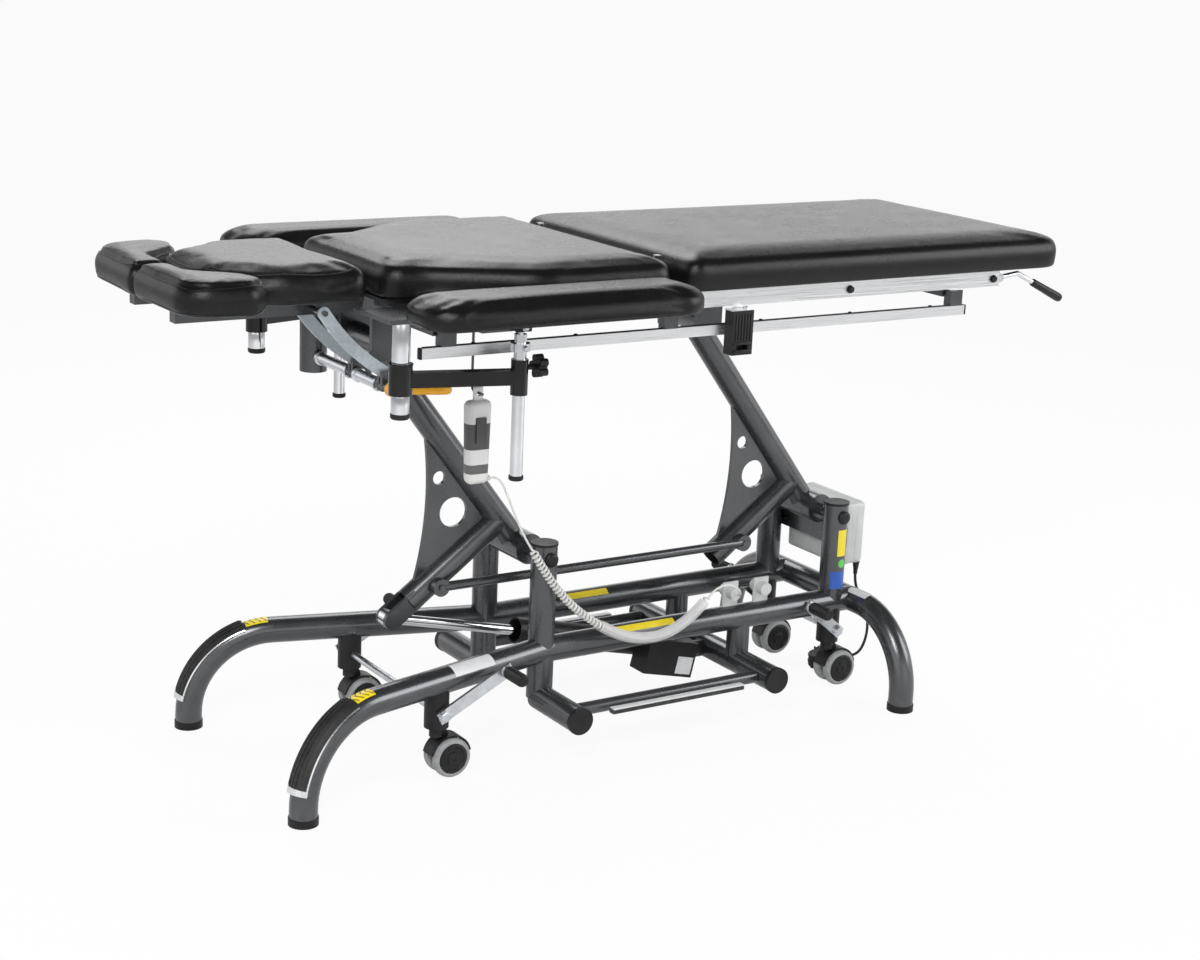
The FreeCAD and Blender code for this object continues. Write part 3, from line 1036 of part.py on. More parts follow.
hinge_reach = V(0, size("side_bar_offset"), 0)
bores = [rod("hinge_pin_dia", hinge - hinge_reach, hinge + hinge_reach, RUN)]
node("lumbar_frame", cut(join(pieces), bores))

SPRING_AXIS = (SPRING_TIP - SPRING_BASE).normalize()
SPRING_HALF = V(0, size("cheek_thick") - size("open_gap"), 0)
spring_end = SPRING_BASE + SPRING_AXIS * (size("spring_eye_dia") + size("spring_length"))
barrel = rod("spring_dia", SPRING_BASE + SPRING_AXIS * size("spring_eye_dia"), spring_end)
bore = rod("spring_bore", SPRING_BASE + SPRING_AXIS * (size("spring_eye_dia") + size("spring_end_wall")),
           spring_end + SPRING_AXIS)
neck = rod("spring_rod_dia", SPRING_BASE,
           SPRING_BASE + SPRING_AXIS * (size("spring_eye_dia") + size("spring_neck_lap")))
node("gas_spring_barrel", cut(join([barrel, neck, eye(SPRING_BASE, "spring_eye_dia", SPRING_HALF)]),
                              [bore, rod("spring_pin_dia", SPRING_BASE - SPRING_HALF * 2,
                                         SPRING_BASE + SPRING_HALF * 2, RUN)]))
spring_rod = rod("spring_rod_dia", SPRING_TIP, SPRING_TIP - SPRING_AXIS * size("spring_rod_length"))
node("gas_spring_rod", cut(join([spring_rod, eye(SPRING_TIP, "spring_eye_dia", SPRING_HALF)]),
                           [rod("spring_pin_dia", SPRING_TIP - SPRING_HALF * 2,
                                SPRING_TIP + SPRING_HALF * 2, RUN)]))
knee = RELEASE + V(size("release_knee_run"), 0, size("release_knee_rise"))
tip = V(size("release_tip_place"), RELEASE.y, size("release_tip_height"))
lever_eye = V(0, size("release_eye_half"), 0)
grip_start = tip + (knee - tip).normalize() * size("release_grip_length")
lever = join([rod("release_dia", RELEASE, knee), rod("release_dia", knee, tip),
              rod("release_grip_dia", grip_start, tip),
              rod("release_grip_dia", RELEASE - lever_eye, RELEASE + lever_eye, size("release_eye_wall"))])
node("release_lever", cut(lever,
                          [rod("hinge_pin_dia", RELEASE - lever_eye * 2, RELEASE + lever_eye * 2, RUN)]))

# Hand switch on its hook, with a rocker for up and down
face_y = SWITCH.y - size("switch_thick") / 2
tab_top = size("switch_top") + size("tab_height")
tab_half = V(size("tab_half_width"), size("tab_half_thick"), 0)
tab = span(V(SWITCH.x, SWITCH.y, size("switch_top") - size("open_gap")) - tab_half,
           V(SWITCH.x, SWITCH.y, tab_top) + tab_half)
hole_reach = V(0, size("switch_thick"), 0)
hole_at = V(SWITCH.x, SWITCH.y, HOOK_Z - size("hook_dia") / 3)
tab_hole = rod("hook_dia", hole_at - hole_reach, hole_at + hole_reach, size("tab_hole_room"))
ROCKER = V(SWITCH.x, face_y, SWITCH.z + size("rocker_rise"))
room = 2 * size("rocker_gap")
pocket = block(size("rocker_width") + room, 2 * size("rocker_room"), size("rocker_length") + room, ROCKER)
pin_reach = V(size("rocker_width") / 2 + size("rocker_pin_reach"), 0, 0)
rocker_pivot = ROCKER + V(0, size("open_gap"), 0)
rocker_pin = rod("rocker_pin_dia", rocker_pivot - pin_reach, rocker_pivot + pin_reach)
NUB_END = V(SWITCH.x + size("switch_width") / 2 + size("nub_length"), SWITCH.y,
            size("switch_top") - size("switch_length") + size("nub_rise"))
nub = rod("nub_dia", NUB_END - V(size("nub_length") + size("open_gap"), 0, 0), NUB_END)
switch_body = cut(join([block("switch_width", "switch_thick", "switch_length", SWITCH), tab, nub]),
                  [tab_hole, pocket])
node("hand_switch", join([switch_body, rocker_pin]))
node("switch_rocker", cut(block("rocker_width", "rocker_thick", "rocker_length", ROCKER),
                          [rod("rocker_pin_dia", rocker_pivot - pin_reach, rocker_pivot + pin_reach, RUN)]))


# Cords: free stretches are straight runs with wide arcs, wound stretches are biarcs
WIND_STEPS = 40
CORNER_SHARE = 0.45
NEIGHBOURS = 8


def cord_radii(points):
    """Largest arc that the two runs beside each inner point leave room for."""
    radii = []
    for before, corner, after in zip(points, points[1:], points[2:]):
        half = (corner - before).getAngle(after - corner) / 2
        shorter = min((corner - before).Length, (after - corner).Length)
        radii.append(CORNER_SHARE * shorter / math.tan(half))
    print("cord radii", [round(radius) for radius in radii])
    return radii


def arc_from(start, control, end):
    """Arc tangent to start-control and control-end, whose legs are alike."""
    middle = (start + end) / 2
    cosine = (end - start).Length / 2 / (control - start).Length
    if cosine > 1 - 1e-9:
        return Part.makeLine(start, end)
    return Part.Arc(start, middle + (control - middle) * (cosine / (1 + cosine)), end).toShape()


def biarc(start, leaving, end, arriving):
    """Two tangent arcs between two points with given directions."""
    chord = end - start
    both = chord.dot(leaving + arriving)
    bent = 2 * (1 - leaving.dot(arriving))
    if bent < 1e-9:
        leg = chord.dot(chord) / (2 * both)
    else:
        leg = (-both + math.sqrt(both * both + bent * chord.dot(chord))) / bent
    first, second = start + leaving * leg, end - arriving * leg
    joint = (first + second) / 2
    return [arc_from(start, first, joint), arc_from(joint, second, end)]


def wound(point_at, stops, leaving, arriving):
    """Biarcs through the stops of a winding, with its two end directions given."""
    directions = [leaving]
    for stop in stops[1:-1]:
        directions.append((point_at(stop + 1) - point_at(stop - 1)).normalize())
    directions.append(arriving)
    edges = []
    for (low, high), (out, into) in zip(zip(stops, stops[1:]), zip(directions, directions[1:])):
        edges += biarc(point_at(low), out, point_at(high), into)
    return edges


def least_gap(wire, dia):
    """Smallest clear distance between two stretches of one wound tube."""
    points = wire.discretize(Distance=dia / 2)
    least = min((points[i] - other).Length for i in range(len(points)) for other in points[i + NEIGHBOURS:])
    return least - dia


def cord(label, edges, dia):
    """One unbroken tube along its path."""
    path = Part.Wire(edges)
    tube = pipe(path, size(dia))
    section = math.pi * size(dia) ** 2 / 4
    print("%s length %.0f, volume over section times length %.3f, least gap %.2f" % (
        label, path.Length, tube.Volume / section / path.Length, least_gap(path, size(dia))))
    return node(label, free_shape(tube))


def ease(share):
    """Smooth step from 0 to 1."""
    share = max(0.0, min(1.0, share))
    return share * share * (3 - 2 * share)


# Handset cord: plain lead from the switch, curls that hang before the near rail, tail to the connector
CURL_Y = -155
curl_points = [V(x, CURL_Y, z) for x, z in ((-408, 405), (-378, 358), (-342, 310), (-298, 267),
                                            (-249, 233), (-200, 206), (-150, 192),
                                            (-102, 192), (-60, 206), (-24, 229), (6, 256))]
curl_axis = bend(curl_points, cord_radii(curl_points))
curl_turns = int(curl_axis.Length / size("curl_pitch"))
curl_steps = curl_turns * WIND_STEPS
samples = curl_axis.discretize(Number=curl_steps + 1)


def curl_point(step):
    before, after = samples[max(step - 1, 0)], samples[min(step + 1, curl_steps)]
    side = V(0, 1, 0)
    other = (after - before).normalize().cross(side)
    angle = 2 * math.pi * step / WIND_STEPS
    radius = (size("curl_dia") - size("curl_wire_dia")) / 2 * ease(min(step,
                                                                       curl_steps - step) / WIND_STEPS)
    return samples[step] + (side * math.cos(angle) + other * math.sin(angle)) * radius


leaving = (curl_points[1] - curl_points[0]).normalize()
arriving = (curl_points[-1] - curl_points[-2]).normalize()
lead_points = [NUB_END, NUB_END + V(19, 0, 0), V(-465, -152, 520), V(-447, -154, 477),
               curl_points[0] - leaving * 36, curl_points[0]]
PLUG_IN = CONNECTORS[0] - V(0, size("connector_length") / 2, 0)
tail_points = [curl_points[-1], curl_points[-1] + arriving * 18, V(43, -157, 277), V(67, -157, 270),
               V(84, -154, 255),
               PLUG_IN - V(0, 14, 0), PLUG_IN]
quarter = WIND_STEPS // 4
stops = list(range(0, WIND_STEPS, quarter)) + list(range(WIND_STEPS, curl_steps - WIND_STEPS, 2 * quarter))
stops += list(range(curl_steps - WIND_STEPS, curl_steps + 1, quarter))
curl_edges = bend(lead_points, cord_radii(lead_points)).Edges + wound(curl_point, stops, leaving, arriving)
cord("curly_cord", curl_edges + bend(tail_points, cord_radii(tail_points)).Edges, "curl_wire_dia")

# Mains lead: a hanging stretch, then the spare length wound flat behind the near caster, then the plug
LAYERS = 4
COIL_LOW = size("cord_dia") / 2 + size("floor_gap")
COIL_TOP = COIL_LOW + (LAYERS - 1) * size("coil_pitch")
COIL_START = V(473, -18, COIL_TOP)
COIL_MID = COIL_START - V(size("coil_radius"), 0, 0)
hang_points = [GLAND_END, GLAND_END + V(0.5, -0.5, -19), V(450, -83, 184), V(462, -90, 159),
               V(470, -95, 131), V(473, -96, 101),
               V(473, -90, 72), V(473, -78, 48), V(473, -60, 32), COIL_START - V(0, 20.5, 0), COIL_START]
cord("mains_lead", bend(hang_points, cord_radii(hang_points)).Edges, "cord_dia")
coil_steps = int(size("coil_turns")) * WIND_STEPS
layer_steps = coil_steps // LAYERS


def coil_point(step):
    layer, into = divmod(step, layer_steps)
    turns_in = (into if layer % 2 == 0 else layer_steps - into) / WIND_STEPS
    radius = size("coil_radius") - size("coil_pitch") * turns_in
    sunk = sum(ease(0.5 + (step - layer_steps * edge) / (WIND_STEPS / 2)) for edge in range(1, LAYERS))
    angle = 2 * math.pi * step / WIND_STEPS
    return COIL_MID + V(radius * math.cos(angle), radius * math.sin(angle), -sunk * size("coil_pitch"))


COIL_END = coil_point(coil_steps)
PLUG_FACE = V(COIL_START.x, 20, size("plug_boss_dia") / 2 + size("floor_gap"))
plug_tail = [COIL_END, COIL_END + V(0, 12, 0), V(PLUG_FACE.x, 8, PLUG_FACE.z), PLUG_FACE]
coil_edges = wound(coil_point, list(range(0, coil_steps + 1, quarter)), V(0, 1, 0), V(0, 1, 0))
cord("mains_coil", coil_edges + bend(plug_tail, cord_radii(plug_tail)).Edges, "cord_dia")
boss_end = PLUG_FACE + V(0, size("plug_boss_length"), 0)
plug_mid = V(PLUG_FACE.x, boss_end.y + size("plug_length") / 2, size("floor_gap") + size("plug_height") / 2)
plug = [rod("plug_boss_dia", PLUG_FACE, boss_end + V(0, 1, 0)),
        block("plug_width", "plug_length", "plug_height", plug_mid)]
for side, sign in SIDES:
    blade_at = plug_mid + V(sign * size("blade_pitch") / 2,
                            (size("plug_length") + size("blade_length")) / 2 - 1, 0)
    plug.append(block("blade_thick", "blade_length", "blade_width", blade_at))
node("mains_plug", join(plug))


def check_and_write():
    """Every object recomputed, every sub-part a valid solid, then one file each."""
    doc.recompute()
    failed = [obj.Label for obj in doc.Objects if "Invalid" in obj.State or "Error" in obj.State]
    if failed:
        raise RuntimeError("objects not computed: " + ", ".join(failed))
    for obj in nodes:
        if obj.Shape.isNull() or not obj.Shape.isValid():
            raise RuntimeError("shape not valid: " + obj.Label)
        print("%-26s solids %2d  volume %10.1f cm3" % (obj.Label, len(obj.Shape.Solids),
                                                       obj.Shape.Volume / 1000))
    for obj in nodes:
        obj.Shape.exportStep("parts/%s.step" % obj.Label)
    print(len(nodes), "sub-parts written")


check_and_write()
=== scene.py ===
"""Looks of the treatment table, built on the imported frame.

Metres, in the part's own frame: +X towards the foot end, +Y towards the far side, +Z up.
"""
import json
import math
import bpy
from mathutils import Matrix, Vector


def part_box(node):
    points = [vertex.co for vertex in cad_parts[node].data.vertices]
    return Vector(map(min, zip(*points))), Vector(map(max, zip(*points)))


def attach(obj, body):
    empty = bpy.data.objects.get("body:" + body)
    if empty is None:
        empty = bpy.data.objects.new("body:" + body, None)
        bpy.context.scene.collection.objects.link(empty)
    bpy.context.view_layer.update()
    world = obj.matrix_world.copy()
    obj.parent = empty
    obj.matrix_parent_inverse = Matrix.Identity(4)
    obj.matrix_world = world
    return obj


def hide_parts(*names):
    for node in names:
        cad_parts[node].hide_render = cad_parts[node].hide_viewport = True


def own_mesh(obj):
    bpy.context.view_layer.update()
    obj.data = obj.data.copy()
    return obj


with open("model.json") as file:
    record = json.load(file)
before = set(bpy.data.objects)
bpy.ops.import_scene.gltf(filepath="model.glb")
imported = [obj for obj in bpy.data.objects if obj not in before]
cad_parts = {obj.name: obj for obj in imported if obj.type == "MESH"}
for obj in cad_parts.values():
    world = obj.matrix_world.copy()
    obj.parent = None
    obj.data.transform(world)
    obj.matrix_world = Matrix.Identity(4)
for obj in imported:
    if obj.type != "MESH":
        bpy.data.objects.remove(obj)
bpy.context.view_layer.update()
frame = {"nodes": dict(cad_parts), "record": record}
CAD = frame["nodes"]
SCENE = bpy.context.scene
SIDES = (("near", -1), ("far", 1))
MM = 0.001


def mm(*values):
    """A point given in millimetres."""
    return Vector([value * MM for value in values])


# Shared finish effects
NUMBER = "NodeSocketFloat"
COLOUR = "NodeSocketColor"
# Most of a noise lies between these two values
NOISE = (0.3, 0.7)


def effect(name, inputs, outputs):
    """A new shader group with named inputs and outputs."""
    group = bpy.data.node_groups.new(name, "ShaderNodeTree")
    for label, kind, value in inputs:
        socket = group.interface.new_socket(label, in_out="INPUT", socket_type=kind)
        socket.default_value = value
    for label, kind in outputs:
        group.interface.new_socket(label, in_out="OUTPUT", socket_type=kind)
    return group, group.nodes.new("NodeGroupInput").outputs, group.nodes.new("NodeGroupOutput")


def feed(tree, node, label, value):
    """Links a node's input to a socket, or sets it to a value."""
    socket = node.inputs[label]
    if isinstance(value, bpy.types.NodeSocket):
        tree.links.new(value, socket)
    elif socket.type == "RGBA":
        socket.default_value = (*value, 1)
    else:
        socket.default_value = value


def feed_all(tree, node, **values):
    """Feeds inputs by name, with underscores for spaces."""
    for label, value in values.items():
        feed(tree, node, label.replace("_", " "), value)


def place_of(tree):
    """Where a point lies on its object."""
    return tree.nodes.new("ShaderNodeTexCoord").outputs["Object"]


def axes(tree, vector):
    """The X, Y and Z of a vector."""
    made = tree.nodes.new("ShaderNodeSeparateXYZ")
    feed_all(tree, made, Vector=vector)
    return made.outputs


def noise(tree, vector, scale, detail=4.0, roughness=0.55):
    """A noise texture on a vector."""
    made = tree.nodes.new("ShaderNodeTexNoise")
    feed_all(tree, made, Vector=vector, Scale=scale, Detail=detail, Roughness=roughness)
    return made.outputs["Fac"]


def spread(tree, value, low, high, to_low=0.0, to_high=1.0):
    """A value spread from one range to another."""
    made = tree.nodes.new("ShaderNodeMapRange")
    feed_all(tree, made, Value=value, From_Min=low, From_Max=high, To_Min=to_low, To_Max=to_high)
    return made.outputs["Result"]


def blended(tree, factor, first, second):
    """Two colours blended by a factor."""
    made = tree.nodes.new("ShaderNodeMix")
    made.data_type = "RGBA"
    for place, value in ((0, factor), (6, first), (7, second)):
        feed(tree, made, place, value)
    return made.outputs[2]


def sums(tree, kind, first, second=0.0):
    """A Math node on sockets or numbers."""
    made = tree.nodes.new("ShaderNodeMath")
    made.operation = kind
    for place, value in enumerate((first, second)):
        feed(tree, made, place, value)
    return made.outputs[0]


def make_mottling():
    """Clouded colour and gloss with fine specks, as paint and moulded plastic have."""
    group, given, made = effect(
        "Mottling",
        [("Scale", NUMBER, 30), ("Speck Scale", NUMBER, 1500), ("Dark", COLOUR, (0, 0, 0, 1)),
         ("Light", COLOUR, (1, 1, 1, 1)), ("Smooth", NUMBER, 0.3), ("Rough", NUMBER, 0.4)],
        [("Colour", COLOUR), ("Roughness", NUMBER), ("Height", NUMBER)])
    place = place_of(group)
    clouds = noise(group, place, given["Scale"])
    share = spread(group, clouds, *NOISE)
    feed_all(group, made, Colour=blended(group, share, given["Dark"], given["Light"]),
             Roughness=spread(group, clouds, *NOISE, given["Smooth"], given["Rough"]),
             Height=noise(group, place, given["Speck Scale"], 2.0))
    return group


def make_hide_grain():
    """Pebbled grain of upholstery vinyl with wider, softer stretch marks, and a crease mask that places
    painted shade in the grain's creases.
    """
    group, given, made = effect(
        "Hide grain", [("Pebble Scale", NUMBER, 650), ("Stretch Scale", NUMBER, 14)],
        [("Height", NUMBER), ("Crease", NUMBER), ("Stretch", NUMBER)])
    place = place_of(group)
    pebbles = group.nodes.new("ShaderNodeTexVoronoi")
    pebbles.feature = "DISTANCE_TO_EDGE"
    feed_all(group, pebbles, Vector=place, Scale=given["Pebble Scale"])
    crease = spread(group, pebbles.outputs["Distance"], 0.0, 0.14)
    pores = sums(group, "MULTIPLY", noise(group, place, 1900, 2.0), 0.25)
    feed_all(group, made, Height=sums(group, "ADD", crease, pores), Crease=crease,
             Stretch=noise(group, place, given["Stretch Scale"], 3.0))
    return group


def make_brushing():
    """Fine drawn lines along one direction of bar stock."""
    group, given, made = effect(
        "Brushing",
        [("Stretch", "NodeSocketVector", (6, 900, 900)), ("Smooth", NUMBER, 0.2), ("Rough", NUMBER, 0.4)],
        [("Line", NUMBER), ("Roughness", NUMBER)])
    turn = group.nodes.new("ShaderNodeMapping")
    feed_all(group, turn, Vector=place_of(group), Scale=given["Stretch"])
    lines = noise(group, turn.outputs["Vector"], 1.0, 3.0, 0.7)
    gloss = spread(group, lines, *NOISE, given["Smooth"], given["Rough"])
    feed_all(group, made, Line=lines, Roughness=gloss)
    return group


def make_floor_dust():
    """Where dust settles: thickest near the floor, broken up by noise."""
    group, given, made = effect("Floor dust", [("Reach", NUMBER, 0.12)], [("Dust", NUMBER)])
    place = place_of(group)
    share = sums(group, "DIVIDE", axes(group, place)["Z"], given["Reach"])
    low = spread(group, share, 0.0, 1.0, 1.0, 0.0)
    broken = spread(group, noise(group, place, 60, 5.0), 0.4, 0.75)
    feed_all(group, made, Dust=sums(group, "MULTIPLY", low, broken))
    return group


MOTTLING = make_mottling()
HIDE_GRAIN = make_hide_grain()
BRUSHING = make_brushing()
FLOOR_DUST = make_floor_dust()


# Finishes
def new_finish(name, metallic=0.0, specular=0.5, coat=0.0, coat_rough=0.1):
    """A material with its shader's plain values set."""
    made = bpy.data.materials.new(name)
    made.use_nodes = True
    tree = made.node_tree
    shader = tree.nodes["Principled BSDF"]
    feed_all(tree, shader, Metallic=metallic, Specular_IOR_Level=specular, Coat_Weight=coat,
             Coat_Roughness=coat_rough)
    return made, tree, shader


def use(tree, group, **values):
    """The outputs of a group placed in a material with its own values."""
    made = tree.nodes.new("ShaderNodeGroup")
    made.node_tree = group
    feed_all(tree, made, **values)
    return made.outputs


def relief(tree, shader, height, strength, distance):
    """Bump from a height, on the shader's normal."""
    bump = tree.nodes.new("ShaderNodeBump")
    feed_all(tree, bump, Strength=strength, Distance=distance, Height=height)
    feed_all(tree, shader, Normal=bump.outputs["Normal"])


DUST_COLOUR = (0.32, 0.31, 0.29)
DUST_SHARE = 0.25


def clouded(name, dark, light, smooth, rough, scale, speck, depth, dust=0.0, **look):
    """Paint, plastic, rubber or plated metal with clouded colour and fine specks."""
    made, tree, shader = new_finish(name, **look)
    cloud = use(tree, MOTTLING, Scale=scale, Speck_Scale=speck, Dark=dark, Light=light, Smooth=smooth,
                Rough=rough)
    colour = cloud["Colour"]
    gloss = cloud["Roughness"]
    if dust:
        thin = sums(tree, "MULTIPLY", use(tree, FLOOR_DUST, Reach=dust)["Dust"], DUST_SHARE)
        colour = blended(tree, thin, colour, DUST_COLOUR)
        gloss = sums(tree, "ADD", gloss, thin)
    feed_all(tree, shader, Base_Color=colour, Roughness=gloss)
    relief(tree, shader, cloud["Height"], depth, 0.0006)
    return made


def blank_label(name, dark, light):
    """Label film with nothing printed on it."""
    return clouded(name, dark, light, 0.34, 0.46, 60.0, 1500.0, 0.03)


def upholstery(name):
    """Black semi-gloss vinyl, with painted shade darkening the creases of its grain."""
    made, tree, shader = new_finish(name, specular=0.27)
    grain = use(tree, HIDE_GRAIN)
    worn = spread(tree, grain["Stretch"], 0.35, 0.7)
    tone = blended(tree, worn, (0.0065, 0.0067, 0.0072), (0.0095, 0.0098, 0.0104))
    # Painted shade: the colour falls to near black in the creases of the grain
    feed_all(tree, shader, Base_Color=blended(tree, grain["Crease"], (0.004, 0.004, 0.0043), tone),
             Roughness=spread(tree, grain["Stretch"], *NOISE, 0.245, 0.285))
    relief(tree, shader, grain["Height"], 0.2, 0.0005)
    return made


def brushed(name, dark, light, smooth, rough, stretch):
    """Drawn bar stock with fine lines along it."""
    made, tree, shader = new_finish(name, metallic=1.0)
    lines = use(tree, BRUSHING, Stretch=stretch, Smooth=smooth, Rough=rough)
    share = spread(tree, lines["Line"], *NOISE)
    feed_all(tree, shader, Base_Color=blended(tree, share, dark, light), Roughness=lines["Roughness"])
    relief(tree, shader, lines["Line"], 0.06, 0.0003)
    return made


# Heights of the hand switch's ends, and the starts and shades of its upper three bands
SWITCH_SPAN = (0.545, 0.7)
SWITCH_BANDS = ((0.24, 0.72), (0.42, 0.075), (0.73, 0.72))


def banded_switch(name):
    """Moulded handset with a white shell and two grey bands across it."""
    made, tree, shader = new_finish(name)
    bands = tree.nodes.new("ShaderNodeValToRGB")
    bands.color_ramp.interpolation = "CONSTANT"
    stops = bands.color_ramp.elements
    stops[0].color = (0.74, 0.74, 0.72, 1)
    stops[1].position = 0.13
    stops[1].color = (0.12, 0.12, 0.12, 1)
    for position, shade in SWITCH_BANDS:
        stops.new(position).color = (shade, shade, shade, 1)
    feed_all(tree, bands, Fac=spread(tree, axes(tree, place_of(tree))["Z"], *SWITCH_SPAN))
    cloud = use(tree, MOTTLING, Scale=40.0, Speck_Scale=1800.0, Smooth=0.32, Rough=0.42)
    feed_all(tree, shader, Base_Color=bands.outputs["Color"], Roughness=cloud["Roughness"])
    relief(tree, shader, cloud["Height"], 0.05, 0.0004)
    return made


# Chevrons: their slant, spacing, dark share of the spacing, and reach to each side
CHEVRON_SLANT = 0.8
CHEVRON_STEP = 0.0115
CHEVRON_SHARE = 0.24
CHEVRON_REACH = 0.012


def chevron_tape(name, centre, along, across):
    """Yellow tape with dark chevrons that point along the leg."""
    made, tree, shader = new_finish(name)
    shift = tree.nodes.new("ShaderNodeVectorMath")
    shift.operation = "SUBTRACT"
    feed(tree, shift, 0, place_of(tree))
    feed(tree, shift, 1, centre)
    runs = []
    for way in (along, across):
        dot = tree.nodes.new("ShaderNodeVectorMath")
        dot.operation = "DOT_PRODUCT"
        feed(tree, dot, 0, shift.outputs["Vector"])
        feed(tree, dot, 1, way)
        runs.append(dot.outputs["Value"])
    off = sums(tree, "ABSOLUTE", runs[1])
    vee = sums(tree, "ADD", runs[0], sums(tree, "MULTIPLY", off, CHEVRON_SLANT))
    step = sums(tree, "FRACT", sums(tree, "DIVIDE", vee, CHEVRON_STEP))
    mark = sums(tree, "LESS_THAN", step, CHEVRON_SHARE)
    dark = sums(tree, "MULTIPLY", mark, sums(tree, "LESS_THAN", off, CHEVRON_REACH))
    feed_all(tree, shader, Base_Color=blended(tree, dark, (0.9, 0.7, 0.015), (0.02, 0.02, 0.02)),
             Roughness=use(tree, MOTTLING, Smooth=0.3, Rough=0.45)["Roughness"])
    return made


def clear_sleeve(name):
    """Milky translucent tubing."""
    made, tree, shader = new_finish(name)
    cloud = use(tree, MOTTLING, Scale=80.0, Dark=(0.75, 0.76, 0.76), Light=(0.85, 0.86, 0.86), Smooth=0.3,
                Rough=0.45)
    feed_all(tree, shader, Base_Color=cloud["Colour"], Roughness=cloud["Roughness"], Alpha=0.55)
    return made


# Each clouded finish has its dark and light colour, its smoothest and roughest gloss, the scale of
# its clouds and of its specks, and the depth of the specks
FRAME_PAINT = clouded(
    "charcoal_frame_paint", (0.088, 0.091, 0.096), (0.108, 0.111, 0.117), 0.24, 0.31, 14.0, 2400.0, 0.03,
    dust=0.05, metallic=0.75, coat=0.3, coat_rough=0.08)
BLACK_PLASTIC = clouded(
    "black_moulding", (0.008, 0.008, 0.0085), (0.016, 0.016, 0.017), 0.34, 0.5, 40.0, 1700.0, 0.12,
    specular=0.3)
BLACK_ENAMEL = clouded(
    "gloss_black_enamel", (0.005, 0.005, 0.0055), (0.009, 0.009, 0.01), 0.10, 0.2, 30.0, 900.0, 0.04,
    specular=0.3, coat=0.2, coat_rough=0.05)
TREAD_RUBBER = clouded(
    "black_tread_rubber", (0.010, 0.010, 0.010), (0.02, 0.02, 0.02), 0.5, 0.68, 50.0, 1300.0, 0.25,
    dust=0.2)
LEAD_RUBBER = clouded(
    "black_lead_rubber", (0.009, 0.009, 0.009), (0.016, 0.016, 0.016), 0.4, 0.55, 60.0, 2000.0, 0.1)
VINYL = upholstery("black_vinyl")
ZINC = clouded(
    "bright_zinc", (0.60, 0.62, 0.65), (0.74, 0.76, 0.78), 0.24, 0.40, 70.0, 1100.0, 0.08, metallic=1.0)
GALVANISED = clouded(
    "galvanised_strip", (0.48, 0.55, 0.60), (0.62, 0.68, 0.72), 0.3, 0.44, 160.0, 800.0, 0.1, metallic=0.65)
CHROME = clouded(
    "polished_chrome", (0.66, 0.67, 0.69), (0.76, 0.77, 0.79), 0.06, 0.13, 20.0, 1600.0, 0.02, metallic=1.0)
RAIL_STOCK = brushed(
    "drawn_aluminium", (0.74, 0.75, 0.76), (0.90, 0.91, 0.92), 0.22, 0.38, (5, 1100, 1100))
BAR_STOCK = brushed(
    "drawn_steel_bar", (0.68, 0.69, 0.70), (0.86, 0.87, 0.88), 0.22, 0.40, (5, 900, 900))
PALE_PLASTIC = clouded(
    "pale_grey_moulding", (0.52, 0.54, 0.54), (0.60, 0.62, 0.61), 0.36, 0.46, 30.0, 1600.0, 0.08)
WHITE_PLASTIC = clouded(
    "white_moulding", (0.70, 0.70, 0.68), (0.78, 0.78, 0.76), 0.3, 0.42, 30.0, 1800.0, 0.06)
TYRE = clouded(
    "grey_tyre", (0.27, 0.275, 0.28), (0.35, 0.355, 0.36), 0.42, 0.58, 80.0, 1400.0, 0.15, dust=0.05)
YELLOW_GRIP = clouded(
    "yellow_grip", (0.80, 0.36, 0.006), (0.88, 0.43, 0.008), 0.3, 0.42, 40.0, 1500.0, 0.06)
BLANK_LABEL = blank_label("blank_white_label", (0.68, 0.69, 0.70), (0.76, 0.77, 0.78))
YELLOW_LABEL = blank_label("blank_yellow_label", (0.78, 0.62, 0.02), (0.86, 0.70, 0.03))
GREEN_LABEL = blank_label("blank_green_label", (0.08, 0.50, 0.06), (0.12, 0.58, 0.09))
BLUE_LABEL = blank_label("blank_blue_label", (0.02, 0.09, 0.42), (0.03, 0.12, 0.5))
SWITCH_SHELL = banded_switch("handset_shell")
DARK_MOULDING = clouded(
    "dark_grey_moulding", (0.05, 0.05, 0.05), (0.07, 0.07, 0.07), 0.34, 0.46, 40.0, 1700.0, 0.08)
SLEEVE = clear_sleeve("milky_sleeve")

SLOT_FINISH = {
    "frame_paint": FRAME_PAINT, "black_plastic": BLACK_PLASTIC, "black_rubber": TREAD_RUBBER,
    "vinyl": VINYL, "zinc": ZINC, "chrome": CHROME, "rail_aluminium": RAIL_STOCK,
    "grey_plastic": PALE_PLASTIC, "grey_tyre": TYRE, "white_plastic": WHITE_PLASTIC,
    "yellow_plastic": YELLOW_GRIP,
}
NODE_FINISH = {
    "near_swing_arm": BLACK_ENAMEL, "far_swing_arm": BLACK_ENAMEL, "tilt_struts": GALVANISED,
    "lumbar_frame": BAR_STOCK, "switch_rocker": DARK_MOULDING, "mains_plug": LEAD_RUBBER,
    "release_lever": ZINC,
}
for part in frame["record"]["subparts"]:
    finish = NODE_FINISH.get(part["node"], SLOT_FINISH[part["material_slot"]])
    for place in CAD[part["node"]].material_slots:
        place.material = finish


# Hand tools for new pieces
def clear():
    """Object mode with nothing selected."""
    if bpy.context.mode != "OBJECT":
        bpy.ops.object.mode_set(mode="OBJECT")
    bpy.ops.object.select_all(action="DESELECT")


def hold(piece):
    """The piece alone selected and active."""
    clear()
    piece.select_set(True)
    bpy.context.view_layer.objects.active = piece


def edit(piece):
    """The piece in edit mode, selected all over."""
    hold(piece)
    bpy.ops.object.mode_set(mode="EDIT")
    bpy.ops.mesh.select_all(action="SELECT")


